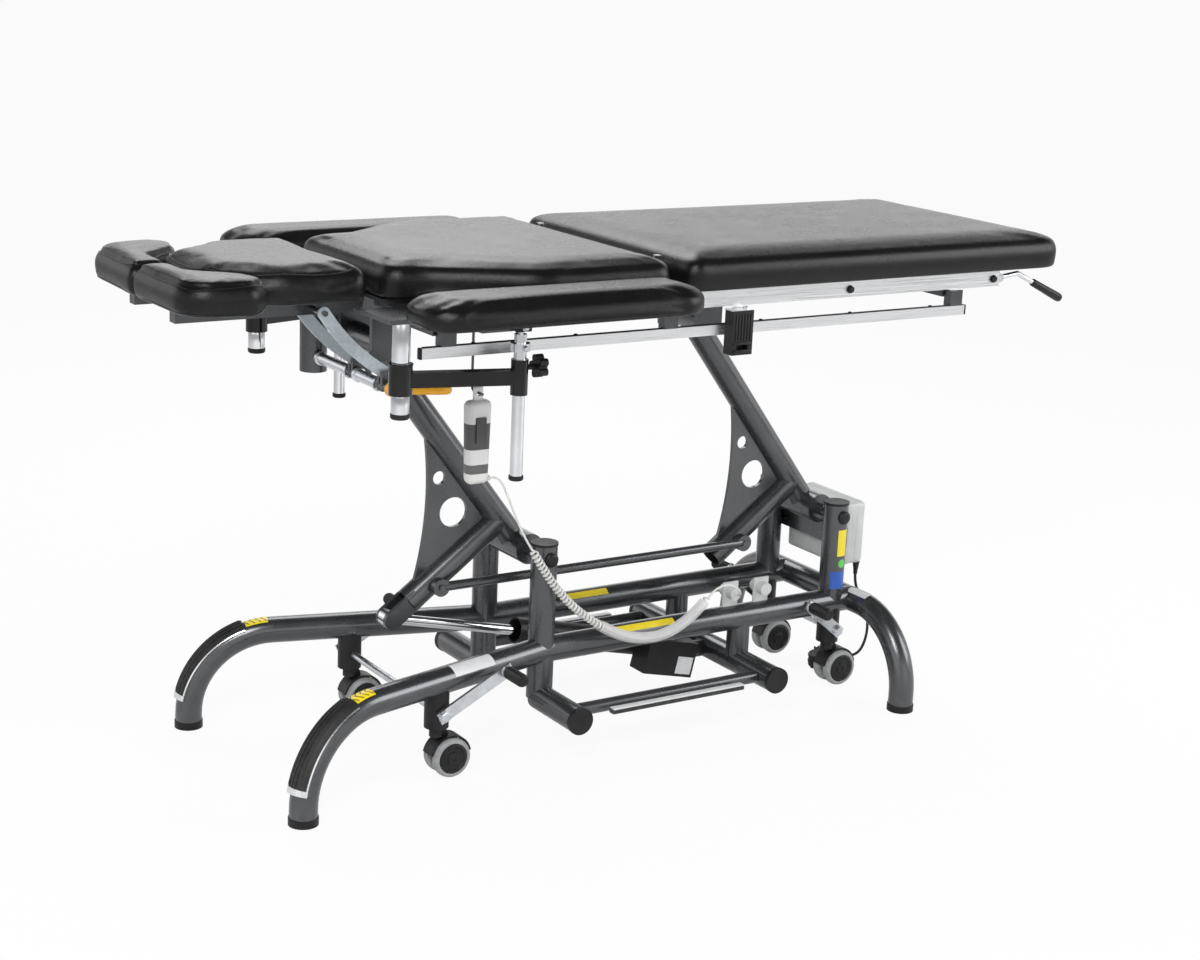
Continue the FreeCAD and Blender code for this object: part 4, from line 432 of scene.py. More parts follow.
def settle(piece):
    """Moves the piece's place into its mesh."""
    hold(piece)
    bpy.ops.object.transform_apply(location=True, rotation=True, scale=True)


def outward(piece):
    """Merges doubles and points the faces outwards."""
    edit(piece)
    bpy.ops.mesh.remove_doubles(threshold=0.00002)
    bpy.ops.mesh.normals_make_consistent(inside=False)
    bpy.ops.object.mode_set(mode="OBJECT")


def smooth(piece, degrees=35):
    """Smooth shading with sharp edges kept."""
    hold(piece)
    bpy.ops.object.shade_smooth_by_angle(angle=math.radians(degrees))


def finish_modifier(piece, kind, **values):
    """Adds a modifier and applies it."""
    hold(piece)
    made = piece.modifiers.new(kind.lower(), kind)
    for label, value in values.items():
        setattr(made, label, value)
    bpy.ops.object.modifier_apply(modifier=made.name)


def dress(piece, name, body, finish, slot, *nodes):
    """Names the piece, gives its finish, and lets it ride on its body."""
    piece.name = name
    piece.data.name = name
    piece.data.materials.clear()
    piece.data.materials.append(finish)
    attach(piece, body)
    if nodes:
        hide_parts(*nodes)


def as_one(pieces):
    """Several pieces joined into the first."""
    clear()
    for piece in pieces:
        piece.select_set(True)
    bpy.context.view_layer.objects.active = pieces[0]
    bpy.ops.object.join()
    return bpy.context.object


def soft_block(low, high, edge, segments=3):
    """A block between two corners with rounded edges."""
    clear()
    low, high = Vector(low), Vector(high)
    bpy.ops.mesh.primitive_cube_add(size=1, location=(low + high) / 2)
    piece = bpy.context.object
    piece.scale = high - low
    settle(piece)
    finish_modifier(piece, "BEVEL", width=edge, segments=segments, limit_method="ANGLE")
    smooth(piece)
    return piece


def turned(start, end, profile, sides=32):
    """A piece turned about the line from start to end, with (distance, radius) from the start."""
    clear()
    start, end = Vector(start), Vector(end)
    first, radius = profile[0]
    bpy.ops.mesh.primitive_circle_add(
        vertices=sides, radius=radius, fill_type="NGON", location=(0, 0, first))
    piece = bpy.context.object
    edit(piece)
    for (before, wide), (after, narrow) in zip(profile, profile[1:]):
        bpy.ops.mesh.extrude_region_move(TRANSFORM_OT_translate={"value": (0, 0, after - before)})
        if abs(narrow - wide) > 1e-7:
            bpy.ops.transform.resize(value=(narrow / wide, narrow / wide, 1))
    settle(piece)
    way = (end - start).to_track_quat("Z", "Y").to_matrix().to_4x4()
    piece.matrix_world = Matrix.Translation(start) @ way
    settle(piece)
    outward(piece)
    smooth(piece)
    return piece


# One rib of a grip: shares of its length, and whether it is raised there
RIB_SHAPE = ((0.0, 0), (0.22, 1), (0.6, 1), (0.82, 0))


def ribbed(length, radius, rib, count):
    """Profile of a grip with rounded ends and ribs along it."""
    profile = [(0.0, radius * 0.8), (0.0012, radius)]
    step = (length - 0.006) / count
    for i in range(count):
        at = 0.003 + i * step
        profile += [(at + step * share, radius + rib * raised) for share, raised in RIB_SHAPE]
    profile += [(length - 0.0015, radius), (length, radius * 0.82)]
    return profile


def swept_band(corners, centre, axis, degrees, steps):
    """A closed section carried round an axis."""
    clear()
    bpy.ops.mesh.primitive_circle_add(vertices=len(corners), radius=1, fill_type="NGON")
    piece = bpy.context.object
    for vertex, corner in zip(piece.data.vertices, corners):
        vertex.co = corner
    edit(piece)
    bpy.ops.mesh.spin(steps=steps, angle=-math.radians(degrees), center=centre, axis=axis)
    outward(piece)
    smooth(piece)
    return piece


def wrapped_label(start, end, radius, facing, spread_degrees, thick=0.0003):
    """A label that lies round a tube: start and end on its axis, facing the way its middle looks."""
    clear()
    start, end = Vector(start), Vector(end)
    middle = (start + end) / 2
    along = (end - start).normalized()
    facing = (Vector(facing) - along * along.dot(Vector(facing))).normalized()
    side = along.cross(facing)
    bpy.ops.mesh.primitive_cylinder_add(
        vertices=96, radius=radius + thick, depth=(end - start).length, end_fill_type="NOTHING")
    piece = bpy.context.object
    turn = Matrix((facing, side, along)).transposed().to_4x4()
    piece.matrix_world = Matrix.Translation(middle) @ turn
    settle(piece)
    half = math.radians(spread_degrees) / 2
    for sign in (-1, 1):
        edit(piece)
        keep = facing * math.sin(half) - side * (sign * math.cos(half))
        bpy.ops.mesh.bisect(plane_co=middle, plane_no=keep, clear_inner=True)
    finish_modifier(piece, "SOLIDIFY", thickness=thick, offset=-1.0)
    smooth(piece)
    return piece


def round_label(middle, along, facing, radius, wide, thick=0.0003):
    """A round label that lies on a tube, about a point of the tube's axis."""
    clear()
    along = Vector(along)
    facing = (Vector(facing) - along * along.dot(Vector(facing))).normalized()
    side = along.cross(facing)
    bpy.ops.mesh.primitive_circle_add(vertices=48, radius=wide, fill_type="TRIFAN")
    piece = bpy.context.object
    edit(piece)
    bpy.ops.mesh.subdivide(number_cuts=5)
    bpy.ops.object.mode_set(mode="OBJECT")
    for vertex in piece.data.vertices:
        turn = vertex.co.x / radius
        out = facing * math.cos(turn) + side * math.sin(turn)
        vertex.co = middle + along * vertex.co.y + out * (radius + thick)
    finish_modifier(piece, "SOLIDIFY", thickness=thick, offset=-1.0)
    outward(piece)
    smooth(piece)
    return piece


def flat_label(middle, along, across, long, high, thick=0.0005):
    """A flat label with eased edges, which faces along the cross of its two directions."""
    clear()
    bpy.ops.mesh.primitive_cube_add(size=1)
    piece = bpy.context.object
    piece.scale = (long, high, thick)
    settle(piece)
    finish_modifier(piece, "BEVEL", width=thick * 0.4, segments=2, limit_method="ANGLE")
    turn = Matrix((along, across, along.cross(across))).transposed().to_4x4()
    piece.matrix_world = Matrix.Translation(middle) @ turn
    settle(piece)
    smooth(piece)
    return piece


def hex_bolt(head, way, across, height):
    """A bolt head with a washer and a chamfered hexagon."""
    head = Vector(head)
    way = Vector(way).normalized()
    ring = [(0.0, across * 0.62), (0.0008, across * 0.66), (0.0018, across * 0.64)]
    hexagon = [(0.0, across * 0.56), (height * 0.75, across * 0.56), (height, across * 0.46)]
    return as_one([turned(head, head + way, ring, 28), turned(head + way * 0.0016, head + way, hexagon, 6)])


def side_block(sign, low, high, edge, segments=3):
    """A rounded block in millimetres, given for the far side and put on the side of that sign."""
    ends = sorted((sign * low[1], sign * high[1]))
    return soft_block(mm(low[0], ends[0], low[2]), mm(high[0], ends[1], high[2]), edge, segments)


def moulded(piece, name, body):
    """A piece of black plastic."""
    dress(piece, name, body, BLACK_PLASTIC, "black_plastic")


def nurbs(name, points, steps):
    """A smooth NURBS line along its points."""
    data = bpy.data.curves.new(name, "CURVE")
    data.dimensions = "3D"
    spline = data.splines.new("NURBS")
    spline.points.add(len(points) - 1)
    for point, place in zip(spline.points, points):
        point.co = (*place, 1)
    spline.order_u = 3
    spline.resolution_u = steps
    line = bpy.data.objects.new(name, data)
    SCENE.collection.objects.link(line)
    return line


def converted(piece, kind):
    """The piece as a mesh or a curve."""
    hold(piece)
    bpy.ops.object.convert(target=kind)
    return bpy.context.object


# Pads: each cover is made from its cushion, filled by cloth pressure
PAD_INSET = 0.0025
HELD_DEPTH = 0.004
CLOTH_FRAMES = 20


def plump(piece, swell):
    """Fills the cover by cloth pressure, and caps how far each point moves."""
    rest = [vertex.co.copy() for vertex in piece.data.vertices]
    low = min(place.z for place in rest)
    base = piece.vertex_groups.new(name="base")
    base.add([i for i, place in enumerate(rest) if place.z < low + HELD_DEPTH], 1.0, "REPLACE")
    hold(piece)
    cloth = piece.modifiers.new("cloth", "CLOTH")
    settings = cloth.settings
    settings.quality = 3
    settings.mass = 0.3
    settings.tension_stiffness = 12
    settings.compression_stiffness = 12
    settings.bending_stiffness = 2
    settings.use_pressure = True
    settings.uniform_pressure_force = 4
    settings.vertex_group_mass = "base"
    settings.effector_weights.gravity = 0
    cloth.collision_settings.use_collision = False
    for step in range(CLOTH_FRAMES):
        SCENE.frame_set(step + 1)
    bpy.ops.object.modifier_apply(modifier=cloth.name)
    for vertex, place in zip(piece.data.vertices, rest):
        move = vertex.co - place
        if move.length > swell:
            vertex.co = place + move * (swell / move.length)
    SCENE.frame_set(1)
    piece.vertex_groups.clear()


def pad(name, body, node, voxel, swell):
    """A padded vinyl cover in the place of a cushion."""
    piece = bpy.data.objects.new(name, CAD[node].data.copy())
    SCENE.collection.objects.link(piece)
    outward(piece)
    floor = min(vertex.co.z for vertex in piece.data.vertices)
    low, high = (Vector(corner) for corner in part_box(node))
    middle = Vector(((low.x + high.x) / 2, (low.y + high.y) / 2, floor))
    wide = high - low
    drawn = (1 - 2 * PAD_INSET / wide.x, 1 - 2 * PAD_INSET / wide.y, 1 - PAD_INSET / wide.z)
    edit(piece)
    bpy.ops.transform.resize(value=drawn, center_override=middle)
    hold(piece)
    piece.data.remesh_voxel_size = voxel
    bpy.ops.object.voxel_remesh()
    plump(piece, swell)
    finish_modifier(piece, "SMOOTH", factor=0.5, iterations=6)
    for vertex in piece.data.vertices:
        vertex.co.z = max(vertex.co.z, floor)
    finish_modifier(piece, "SUBSURF", levels=1, render_levels=1)
    hold(piece)
    bpy.ops.object.shade_smooth()
    dress(piece, name, body, VINYL, "vinyl", node)
    return piece


pad("lumbar_cover", "lumbar", "lumbar_cushion", 0.0075, 0.004)
pad("thoracic_cover", "top", "thoracic_cushion", 0.006, 0.004)
HEAD_PAD = pad("head_cover", "head_section", "head_cushion", 0.005, 0.004)
FACE_PAD = pad("face_covers", "head_section", "face_pads", 0.004, 0.003)
ARM_PADS = [pad(side + "_arm_cover", side + "_pad", side + "_arm_pad", 0.005, 0.004)
            for side, sign in SIDES]


def welt(name, body, cover, corners, height, reach, thick):
    """A sewn welt round a cover, laid on its surface."""
    points = []
    for i, corner in enumerate(corners):
        corner = Vector((*corner, height))
        for other in (corners[i - 1], corners[(i + 1) % len(corners)]):
            points.append(corner + (Vector((*other, height)) - corner).normalized() * reach)
    line = nurbs(name, [place * MM for place in points], 16)
    line.data.splines[0].use_cyclic_u = True
    line = converted(line, "MESH")
    finish_modifier(line, "SHRINKWRAP", target=cover, wrap_method="NEAREST_SURFACEPOINT", offset=0.0002)
    finish_modifier(line, "SMOOTH", factor=0.5, iterations=4)
    line = converted(line, "CURVE")
    line.data.bevel_depth = thick / 2
    line.data.bevel_resolution = 2
    line = converted(line, "MESH")
    outward(line)
    hold(line)
    bpy.ops.object.shade_smooth()
    dress(line, name, body, VINYL, "vinyl")


def drawn_in(corners, share):
    """Plan corners drawn in towards their middle."""
    middle = (sum(x for x, y in corners) / len(corners), sum(y for x, y in corners) / len(corners))
    return [(x + (middle[0] - x) * share, y + (middle[1] - y) * share) for x, y in corners]


HEAD_PLAN = [(-755, -178), (-755, 178), (-924.5, 178), (-1042, 92), (-1042, -92), (-924.5, -178)]
FACE_PLAN = [(-1124, 2), (-1048, 2), (-1048, 88), (-972, 150), (-956, 206), (-996, 240), (-1118, 226)]
ARM_PLAN = [(-232, 312), (-232, 462), (-789, 462), (-789, 312)]
for level, height in (("upper", 952), ("lower", 906)):
    welt("head_%s_welt" % level, "head_section", HEAD_PAD, drawn_in(HEAD_PLAN, 0.04), height, 38, 0.0024)
    for side, sign in SIDES:
        plan = drawn_in([(x, -sign * y) for x, y in FACE_PLAN], 0.06)
        welt("%s_face_%s_welt" % (side, level), "head_section", FACE_PAD, plan, height - 6, 22, 0.0022)
for (side, sign), cover in zip(SIDES, ARM_PADS):
    plan = drawn_in([(x, sign * y) for x, y in ARM_PLAN], 0.02)
    welt(side + "_arm_lower_welt", side + "_pad", cover, plan, 899, 50, 0.0022)


# Cords
CORD_STEPS = 5


def cord_line(name, points, thick):
    """One smooth open NURBS line through the route's points."""
    line = nurbs(name, points, CORD_STEPS)
    line.data.splines[0].use_endpoint_u = True
    line.data.resolution_u = CORD_STEPS
    line.data.bevel_depth = thick / 2
    line.data.bevel_resolution = 3
    line.data.use_fill_caps = True
    return line


def tube(line):
    """A cord's line as a mesh, which can crumple."""
    piece = converted(line, "MESH")
    smooth(piece)
    return piece


def read_line(points):
    """The smooth line of a route, as points along it."""
    line = cord_line("route", points, 0.0)
    mesh = bpy.data.meshes.new_from_object(line)
    places = [vertex.co.copy() for vertex in mesh.vertices]
    bpy.data.objects.remove(line)
    bpy.data.meshes.remove(mesh)
    return places


def at_length(places, lengths, wanted):
    """The point and direction of a line at a length along it."""
    for i in range(1, len(places)):
        if lengths[i] >= wanted:
            share = (wanted - lengths[i - 1]) / max(lengths[i] - lengths[i - 1], 1e-9)
            return places[i - 1].lerp(places[i], share), (places[i] - places[i - 1]).normalized()
    return places[-1].copy(), (places[-1] - places[-2]).normalized()


def eased(share):
    """A share from 0 to 1, eased at both ends."""
    share = max(0.0, min(1.0, share))
    return share * share * (3 - 2 * share)


CURL_WIRE = 0.0042
CURL_RADIUS = 0.0064
CURL_PITCH = 0.009
CURL_STEPS = 12
# The smooth line runs inside its points, so these stand a little further out
CURL_SPREAD = 1.035
CORD_PLANE = -155
CURL_PLAN = [(-408, 405), (-378, 358), (-342, 310), (-298, 267), (-249, 233), (-200, 206), (-150, 192),
             (-102, 192), (-60, 206), (-24, 229), (6, 256)]
CURL_ROUTE = [mm(x, CORD_PLANE, z) for x, z in CURL_PLAN]
SLEEVE_SPAN = (-0.25, 0.004)
SLEEVE_WIDE = 0.0225
leaving = (CURL_ROUTE[1] - CURL_ROUTE[0]).normalized()
arriving = (CURL_ROUTE[-1] - CURL_ROUTE[-2]).normalized()
SWITCH_EXIT = mm(-499, -150, 552)
SWITCH_LEAD = [SWITCH_EXIT, mm(-480, -150, 552), mm(-465, -152, 520), mm(-447, -154, 477),
               CURL_ROUTE[0] - leaving * 0.036]
SWITCH_TAIL = [CURL_ROUTE[-1] + arriving * 0.018, mm(43, -157, 277), mm(67, -157, 270), mm(84, -154, 255),
               mm(92, -143, 241.4), mm(92, -129, 241.4)]


def curls(route):
    """Helix round a route, which starts and ends on it, and the route's smooth line."""
    places = read_line(route)
    lengths = [0.0]
    for before, after in zip(places, places[1:]):
        lengths.append(lengths[-1] + (after - before).length)
    steps = int(lengths[-1] / CURL_PITCH) * CURL_STEPS
    side = Vector((0, 1, 0))
    made = []
    for step in range(steps + 1):
        place, along = at_length(places, lengths, lengths[-1] * step / steps)
        angle = 2 * math.pi * step / CURL_STEPS
        radius = CURL_RADIUS * CURL_SPREAD * eased(min(step, steps - step) / CURL_STEPS)
        made.append(place + (side * math.cos(angle) + along.cross(side) * math.sin(angle)) * radius)
    return made, places


curl_helix, curl_axis = curls(CURL_ROUTE)
curly_points = SWITCH_LEAD + curl_helix + SWITCH_TAIL
curly = tube(cord_line("curly_handset_cord", curly_points, CURL_WIRE))
dress(curly, "curly_handset_cord", "base", WHITE_PLASTIC, "white_plastic", "curly_cord")
sleeved = [place for place in curl_axis if SLEEVE_SPAN[0] < place.x < SLEEVE_SPAN[1]]
sleeve_line = cord_line("curl_sleeve", sleeved, SLEEVE_WIDE)
sleeve_line.data.use_fill_caps = False
sleeve = tube(sleeve_line)
dress(sleeve, "curl_sleeve", "base", SLEEVE, "white_plastic")
read_line(curly_points)
for piece in (curly, sleeve):
    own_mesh(piece)

MAINS = 0.006
COIL_TURNS = 10
COIL_STEPS = 16
COIL_LAYERS = 4
COIL_PITCH = 0.0065
COIL_RADIUS = 0.041
COIL_SPREAD = 1.01
MAINS_EXIT = mm(442.4, -78, 224)
MAINS_HANG = [MAINS_EXIT, mm(442.9, -78.5, 205), mm(450, -83, 184), mm(462, -90, 159), mm(470, -95, 131),
              mm(473, -96, 101), mm(473, -90, 72), mm(473, -78, 48), mm(473, -60, 32), mm(473, -38.5, 22.8)]
COIL_MIDDLE = mm(432, -18, 22.8)
MAINS_TAIL = [mm(473, -6, 3.3), mm(473, 8, 5.3), mm(473, 20, 5.3)]


def coil_turns():
    """Flat layers of turns, inwards and outwards by turns, each below the last."""
    steps = COIL_TURNS * COIL_STEPS
    layer_steps = steps // COIL_LAYERS
    made = []
    for step in range(steps + 1):
        layer, into = divmod(step, layer_steps)
        turns_in = (into if layer % 2 == 0 else layer_steps - into) / COIL_STEPS
        radius = (COIL_RADIUS - COIL_PITCH * turns_in) * COIL_SPREAD
        past = [step - layer_steps * edge for edge in range(1, COIL_LAYERS)]
        sunk = sum(eased(0.5 + gone / (COIL_STEPS / 2)) for gone in past)
        angle = 2 * math.pi * step / COIL_STEPS
        turn = Vector((radius * math.cos(angle), radius * math.sin(angle), -sunk * COIL_PITCH))
        made.append(COIL_MIDDLE + turn)
    return made


mains = cord_line("mains_cord", MAINS_HANG + coil_turns() + MAINS_TAIL, MAINS)
dress(mains, "mains_cord", "base", LEAD_RUBBER, "black_rubber", "mains_lead", "mains_coil")
tie = soft_block(mm(390, -22, 0.4), mm(415, -14, 27.5), 0.002)
moulded(tie, "coil_tie", "base")

# Twin casters: tyres with rounded treads, dark hubs and axle caps
TYRE_PROFILE = [(0.0, 0.030), (0.0004, 0.0325), (0.0022, 0.0358), (0.005, 0.0371), (0.009, 0.0375),
                (0.013, 0.0373), (0.0165, 0.0362), (0.0192, 0.0338), (0.020, 0.0315), (0.0196, 0.0295),
                (0.0172, 0.0287), (0.017, 0.02)]
HUB_PROFILE = [(0.0, 0.0284), (0.0022, 0.0281), (0.0031, 0.0265), (0.0031, 0.0225), (0.0019, 0.0215),
               (0.0019, 0.0125), (0.0036, 0.0115), (0.0042, 0.0095), (0.0042, 0.005), (0.0034, 0.0045)]
WHEEL_IN = 0.0065
WHEEL_HIGH = 0.0405
HUB_OUT = 0.0168
CASTER_PLACES = (("head", -0.59, 0.17809), ("foot", 0.376, 0.109))
for end, x, y in CASTER_PLACES:
    for side, sign in SIDES:
        body = "%s_%s_wheels" % (side, end)
        tyres = []
        hubs = []
        for way in (-1, 1):
            out = Vector((0, way, 0))
            start = Vector((x, sign * y, WHEEL_HIGH)) + out * WHEEL_IN
            tyres.append(turned(start, start + out, TYRE_PROFILE, 56))
            hubs.append(turned(start + out * HUB_OUT, start + out, HUB_PROFILE, 40))
        dress(as_one(tyres), body + "_tyres", body, TYRE, "grey_tyre", "%s_%s_caster_wheels" % (side, end))
        moulded(as_one(hubs), body + "_hubs", body)


# Tread pads on the splayed legs: edge trims, ribs, end clips and marker tape
LEG_RADIUS = 0.0254
BEND_RADIUS = 0.16


class LegBend:
    """The bend of a splayed leg, with points of its tube's section."""

    def __init__(self, sign):
        self.out = Vector((-565, sign * 149, 0)).normalized()
        self.across = Vector((0, 0, 1)).cross(self.out)
        self.centre = mm(-917, sign * 258, 26) - self.out * BEND_RADIUS

    def point(self, rise, around, along):
        """A point by its height over the tube, its angle round it and its angle along the bend."""
        a = math.radians(around)
        radius = LEG_RADIUS + rise
        up = Vector((0, 0, radius * math.cos(a)))
        crest = Vector((0, 0, BEND_RADIUS)) + self.across * (radius * math.sin(a)) + up
        return self.centre + Matrix.Rotation(math.radians(along), 3, self.across) @ crest

    def band(self, low, high, arounds, start, degrees, steps):
        """A band on the tube between two heights, carried along the bend."""
        corners = [self.point(high, around, start) for around in arounds]
        corners += [self.point(low, around, start) for around in reversed(arounds)]
        return swept_band(corners, self.centre, self.across, degrees, steps)


TAPE_MIDDLE = 9.75
for side, sign in SIDES:
    leg = LegBend(sign)
    trims = [leg.band(0, 0.0056, (edge - 2.5, edge + 2.5), start=18, degrees=58, steps=28)
             for edge in (-53, 53)]
    dress(as_one(trims), side + "_tread_trims", "base", BAR_STOCK, "zinc")
    ribs = [leg.band(0.004, 0.0062, (edge - 2.2, edge + 2.2), start=19, degrees=56, steps=28)
            for edge in (-40, -24, -8, 8, 24, 40)]
    dress(as_one(ribs), side + "_tread_ribs", "base", TREAD_RUBBER, "black_rubber")
    clip = leg.band(0, 0.0064, tuple(range(-56, 57, 8)), start=75.6, degrees=3.4, steps=3)
    dress(clip, side + "_tread_clip", "base", BAR_STOCK, "zinc")
    tape = leg.band(0, 0.0004, tuple(range(-36, 37, 6)), start=3, degrees=13.5, steps=12)
    run = leg.point(0, 0, TAPE_MIDDLE + 1) - leg.point(0, 0, TAPE_MIDDLE - 1)
    middle = leg.point(0, 0, TAPE_MIDDLE)
    chevrons = chevron_tape(side + "_marker_tape", middle, run.normalized(), leg.across)
    dress(tape, side + "_marker_tape", "base", chevrons, "yellow_plastic")


# Blank labels on the tubes and the motor
def tube_label(name, start, end, facing, degrees, finish, slot):
    """A label round a tube of the base, from start to end in millimetres."""
    piece = wrapped_label(mm(*start), mm(*end), LEG_RADIUS, facing, degrees)
    dress(piece, name, "base", finish, slot)


tube_label("leg_label", (-590, -171.8, 186), (-492, -145.9, 186), (-0.2, -0.62, 0.76), 62, BLANK_LABEL,
           "white_plastic")
tube_label("rail_label", (-204, -109, 186), (-54, -109, 186), (0, -0.6, 0.8), 34, YELLOW_LABEL,
           "yellow_plastic")
tube_label("far_rail_label", (-170, 109, 186), (-70, 109, 186), (0, -0.6, 0.8), 34, YELLOW_LABEL,
           "yellow_plastic")
tube_label("post_label", (352, -109, 289), (352, -109, 345), (0.1, -1, 0), 52, YELLOW_LABEL,
           "yellow_plastic")
tube_label("post_band", (352, -109, 219), (352, -109, 256), (-0.1, -1, 0), 80, BLUE_LABEL, "grey_plastic")
dot = round_label(mm(352, -109, 273), (0, 0, 1), (0.15, -1, 0), LEG_RADIUS, 0.009)
dress(dot, "post_dot", "base", GREEN_LABEL, "grey_plastic")
motor_along = Vector((-695, 0, 163)).normalized()
motor_down = motor_along.cross(Vector((0, 1, 0)))
motor_place = mm(36.2, -78, 92.4) + motor_along * 0.024 + motor_down * 0.012
plate = flat_label(motor_place, motor_along, motor_down, 0.038, 0.036)
dress(plate, "motor_label", "motor_unit", BLANK_LABEL, "white_plastic")
tube_label("foot_tube_label", (402.8, -180, 186), (402.8, -120, 186), (-0.3, -0.5, 0.8), 40, BLANK_LABEL,
           "white_plastic")

# Pedal grips, treadle strips, pivot caps and bolts of the base
GRIP_PROFILE = ribbed(0.0555, 0.0114, 0.0011, 9)
CAP_PROFILE = [(0.0, 0.0125), (0.001, 0.0136), (0.005, 0.0138), (0.0075, 0.0118), (0.009, 0.0075)]
PEDALS = (("head", -484.8, 207.1, 195.8, -614), ("foot", 279.2, 138.0, 191.1, 352))
for end, x, y, z, pivot in PEDALS:
    grips = []
    pins = []
    for side, sign in SIDES:
        start = mm(x, sign * (y + 6), z)
        grips.append(turned(start, start + Vector((0, sign, 0)), GRIP_PROFILE, 36))
        pins.append(hex_bolt(mm(pivot, sign * (y + 3), 130), (0, sign, 0), 0.019, 0.006))
    moulded(as_one(grips), end + "_pedal_grips", end + "_lever")
    dress(as_one(pins), end + "_lever_bolts", end + "_lever", ZINC, "zinc")
for side, sign in SIDES:
    face = side_block(sign, (-268, 246.6, 87.8), (34, 248.6, 93.4), 0.0006)
    dress(face, side + "_treadle_face", side + "_treadle", TREAD_RUBBER, "black_rubber")
    top = side_block(sign, (-270, 233.2, 95.8), (36, 248.4, 98.4), 0.0009)
    dress(top, side + "_treadle_cover", side + "_treadle", BLANK_LABEL, "white_plastic")
    for end, x in (("head", -352), ("foot", 352)):
        cap = turned(mm(x, sign * 133.6, 372), mm(x, sign * 143, 372), CAP_PROFILE, 36)
        moulded(cap, "%s_%s_pivot_cap" % (side, end), "base")

# Side rails: black top strips, end plugs, screws, and the ribbed brackets on them
RAIL_SCREWS = (-620, -414, -212, -9, 203, 404)
SCREW_PROFILE = [(0.0, 0.0042), (0.0014, 0.004), (0.0026, 0.0028), (0.0029, 0.0012)]
BRACKET_RIBS = (-89, -82.5, -76, -69.5, -63, -56.5)
for side, sign in SIDES:
    strip = side_block(sign, (-718, 280.8, 833.6), (486, 289.2, 835.4), 0.0006)
    moulded(strip, side + "_rail_strip", "top")
    plugs = [side_block(sign, (low, 279.6, 814.6), (high, 290.4, 834.4), 0.0015)
             for low, high in ((-725.5, -720.5), (488.5, 493.5))]
    moulded(as_one(plugs), side + "_rail_plugs", "top")
    heads = [mm(x, sign * 285, 835) for x in RAIL_SCREWS]
    screws = [turned(head, head + Vector((0, 0, 1)), SCREW_PROFILE, 20) for head in heads]
    moulded(as_one(screws), side + "_rail_screws", "top")
    ribs = [side_block(sign, (x, 315.4, 806), (x + 3.2, 317.6, 856), 0.0008, 2) for x in BRACKET_RIBS]
    ribs += [side_block(sign, (-93, 315.2, low), (-51, 318.2, high), 0.001, 2)
             for low, high in ((784, 789.4), (799.2, 803.5))]
    moulded(as_one(ribs), side + "_bracket_ribs", "top")
    plate = [side_block(sign, (-97, 289.5, 861.6), (-47, 315, 864.2), 0.0007)]
    plate += [hex_bolt(mm(x, sign * 303, 864), (0, 0, 1), 0.008, 0.0036) for x in (-84, -60)]
    dress(as_one(plate), side + "_bracket_plate", "top", ZINC, "zinc")
    bolts = [hex_bolt(mm(x, sign * 283.8, 881), (0, sign, 0), 0.012, 0.0055) for x in (565, 200, -150)]
    moulded(as_one(bolts), side + "_side_bar_bolts", "lumbar")


# Armrests: post plugs, the bolts of the collars and brackets, and the bright parts of the posts
def inner_post(sign, z):
    """A point on the axis of an inner armrest post."""
    return mm(-762, sign * 292, z)


def outer_post(sign, z, out=0.0):
    """A point on the axis of an outer armrest post, or out from it to the far side."""
    return mm(-562, sign * 344 + out, z)


PLUG_PROFILE = [(0.0, 0.0154), (0.0005, 0.0166), (0.007, 0.0166), (0.0095, 0.0145), (0.0105, 0.009)]
FOOT_PROFILE = [(0.0, 0.0125), (0.0008, 0.0131), (0.0065, 0.0131), (0.0085, 0.0112), (0.009, 0.007)]
RING_PROFILE = [(0.0, 0.0205), (0.0008, 0.0212), (0.003, 0.0212), (0.004, 0.0198)]
for side, sign in SIDES:
    plug = turned(inner_post(sign, 727), inner_post(sign, 700), PLUG_PROFILE, 40)
    moulded(plug, side + "_post_plug", "top")
    bolt = hex_bolt(outer_post(sign, 836.5, sign * 16.4), (0, sign, 0), 0.009, 0.005)
    dress(bolt, side + "_collar_bolt", side + "_post", ZINC, "zinc")
    foot = turned(outer_post(sign, 611), outer_post(sign, 590), FOOT_PROFILE, 36)
    moulded(foot, side + "_post_foot", side + "_post")
    pins = [hex_bolt(outer_post(sign, 872, way * 14.6), (0, way, 0), 0.0095, 0.005) for way in (-1, 1)]
    dress(as_one(pins), side + "_bracket_bolts", side + "_pad", ZINC, "zinc")
    ring = turned(inner_post(sign, 809.5), inner_post(sign, 820), RING_PROFILE, 40)
    dress(ring, side + "_sleeve_ring", side + "_swing", BLACK_ENAMEL, "black_plastic")
for side, sign in SIDES:
    shafts = []
    for low, high in ((727, 758.4), (810.8, 881.6)):
        length = (high - low) * MM
        profile = [(0.0, 0.0156), (0.0004, 0.0157), (length - 0.0004, 0.0157), (length, 0.0156)]
        shafts.append(turned(inner_post(sign, low), inner_post(sign, high), profile, 48))
    dress(as_one(shafts), side + "_inner_post_chrome", "top", CHROME, "chrome")

# Plated sleeves on the tilt clamp's shaft
sleeves = []
for low, high in ((-134, -50), (-22, 104)):
    length = (high - low) * MM
    profile = [(0.0, 0.0125), (0.0008, 0.0132), (0.007, 0.0132), (0.008, 0.0108), (length - 0.008, 0.0108),
               (length - 0.007, 0.0132), (length - 0.0008, 0.0132), (length, 0.0125)]
    sleeves.append(turned(mm(-720, low, 741), mm(-720, high, 741), profile, 40))
dress(as_one(sleeves), "clamp_sleeves", "top", ZINC, "zinc")

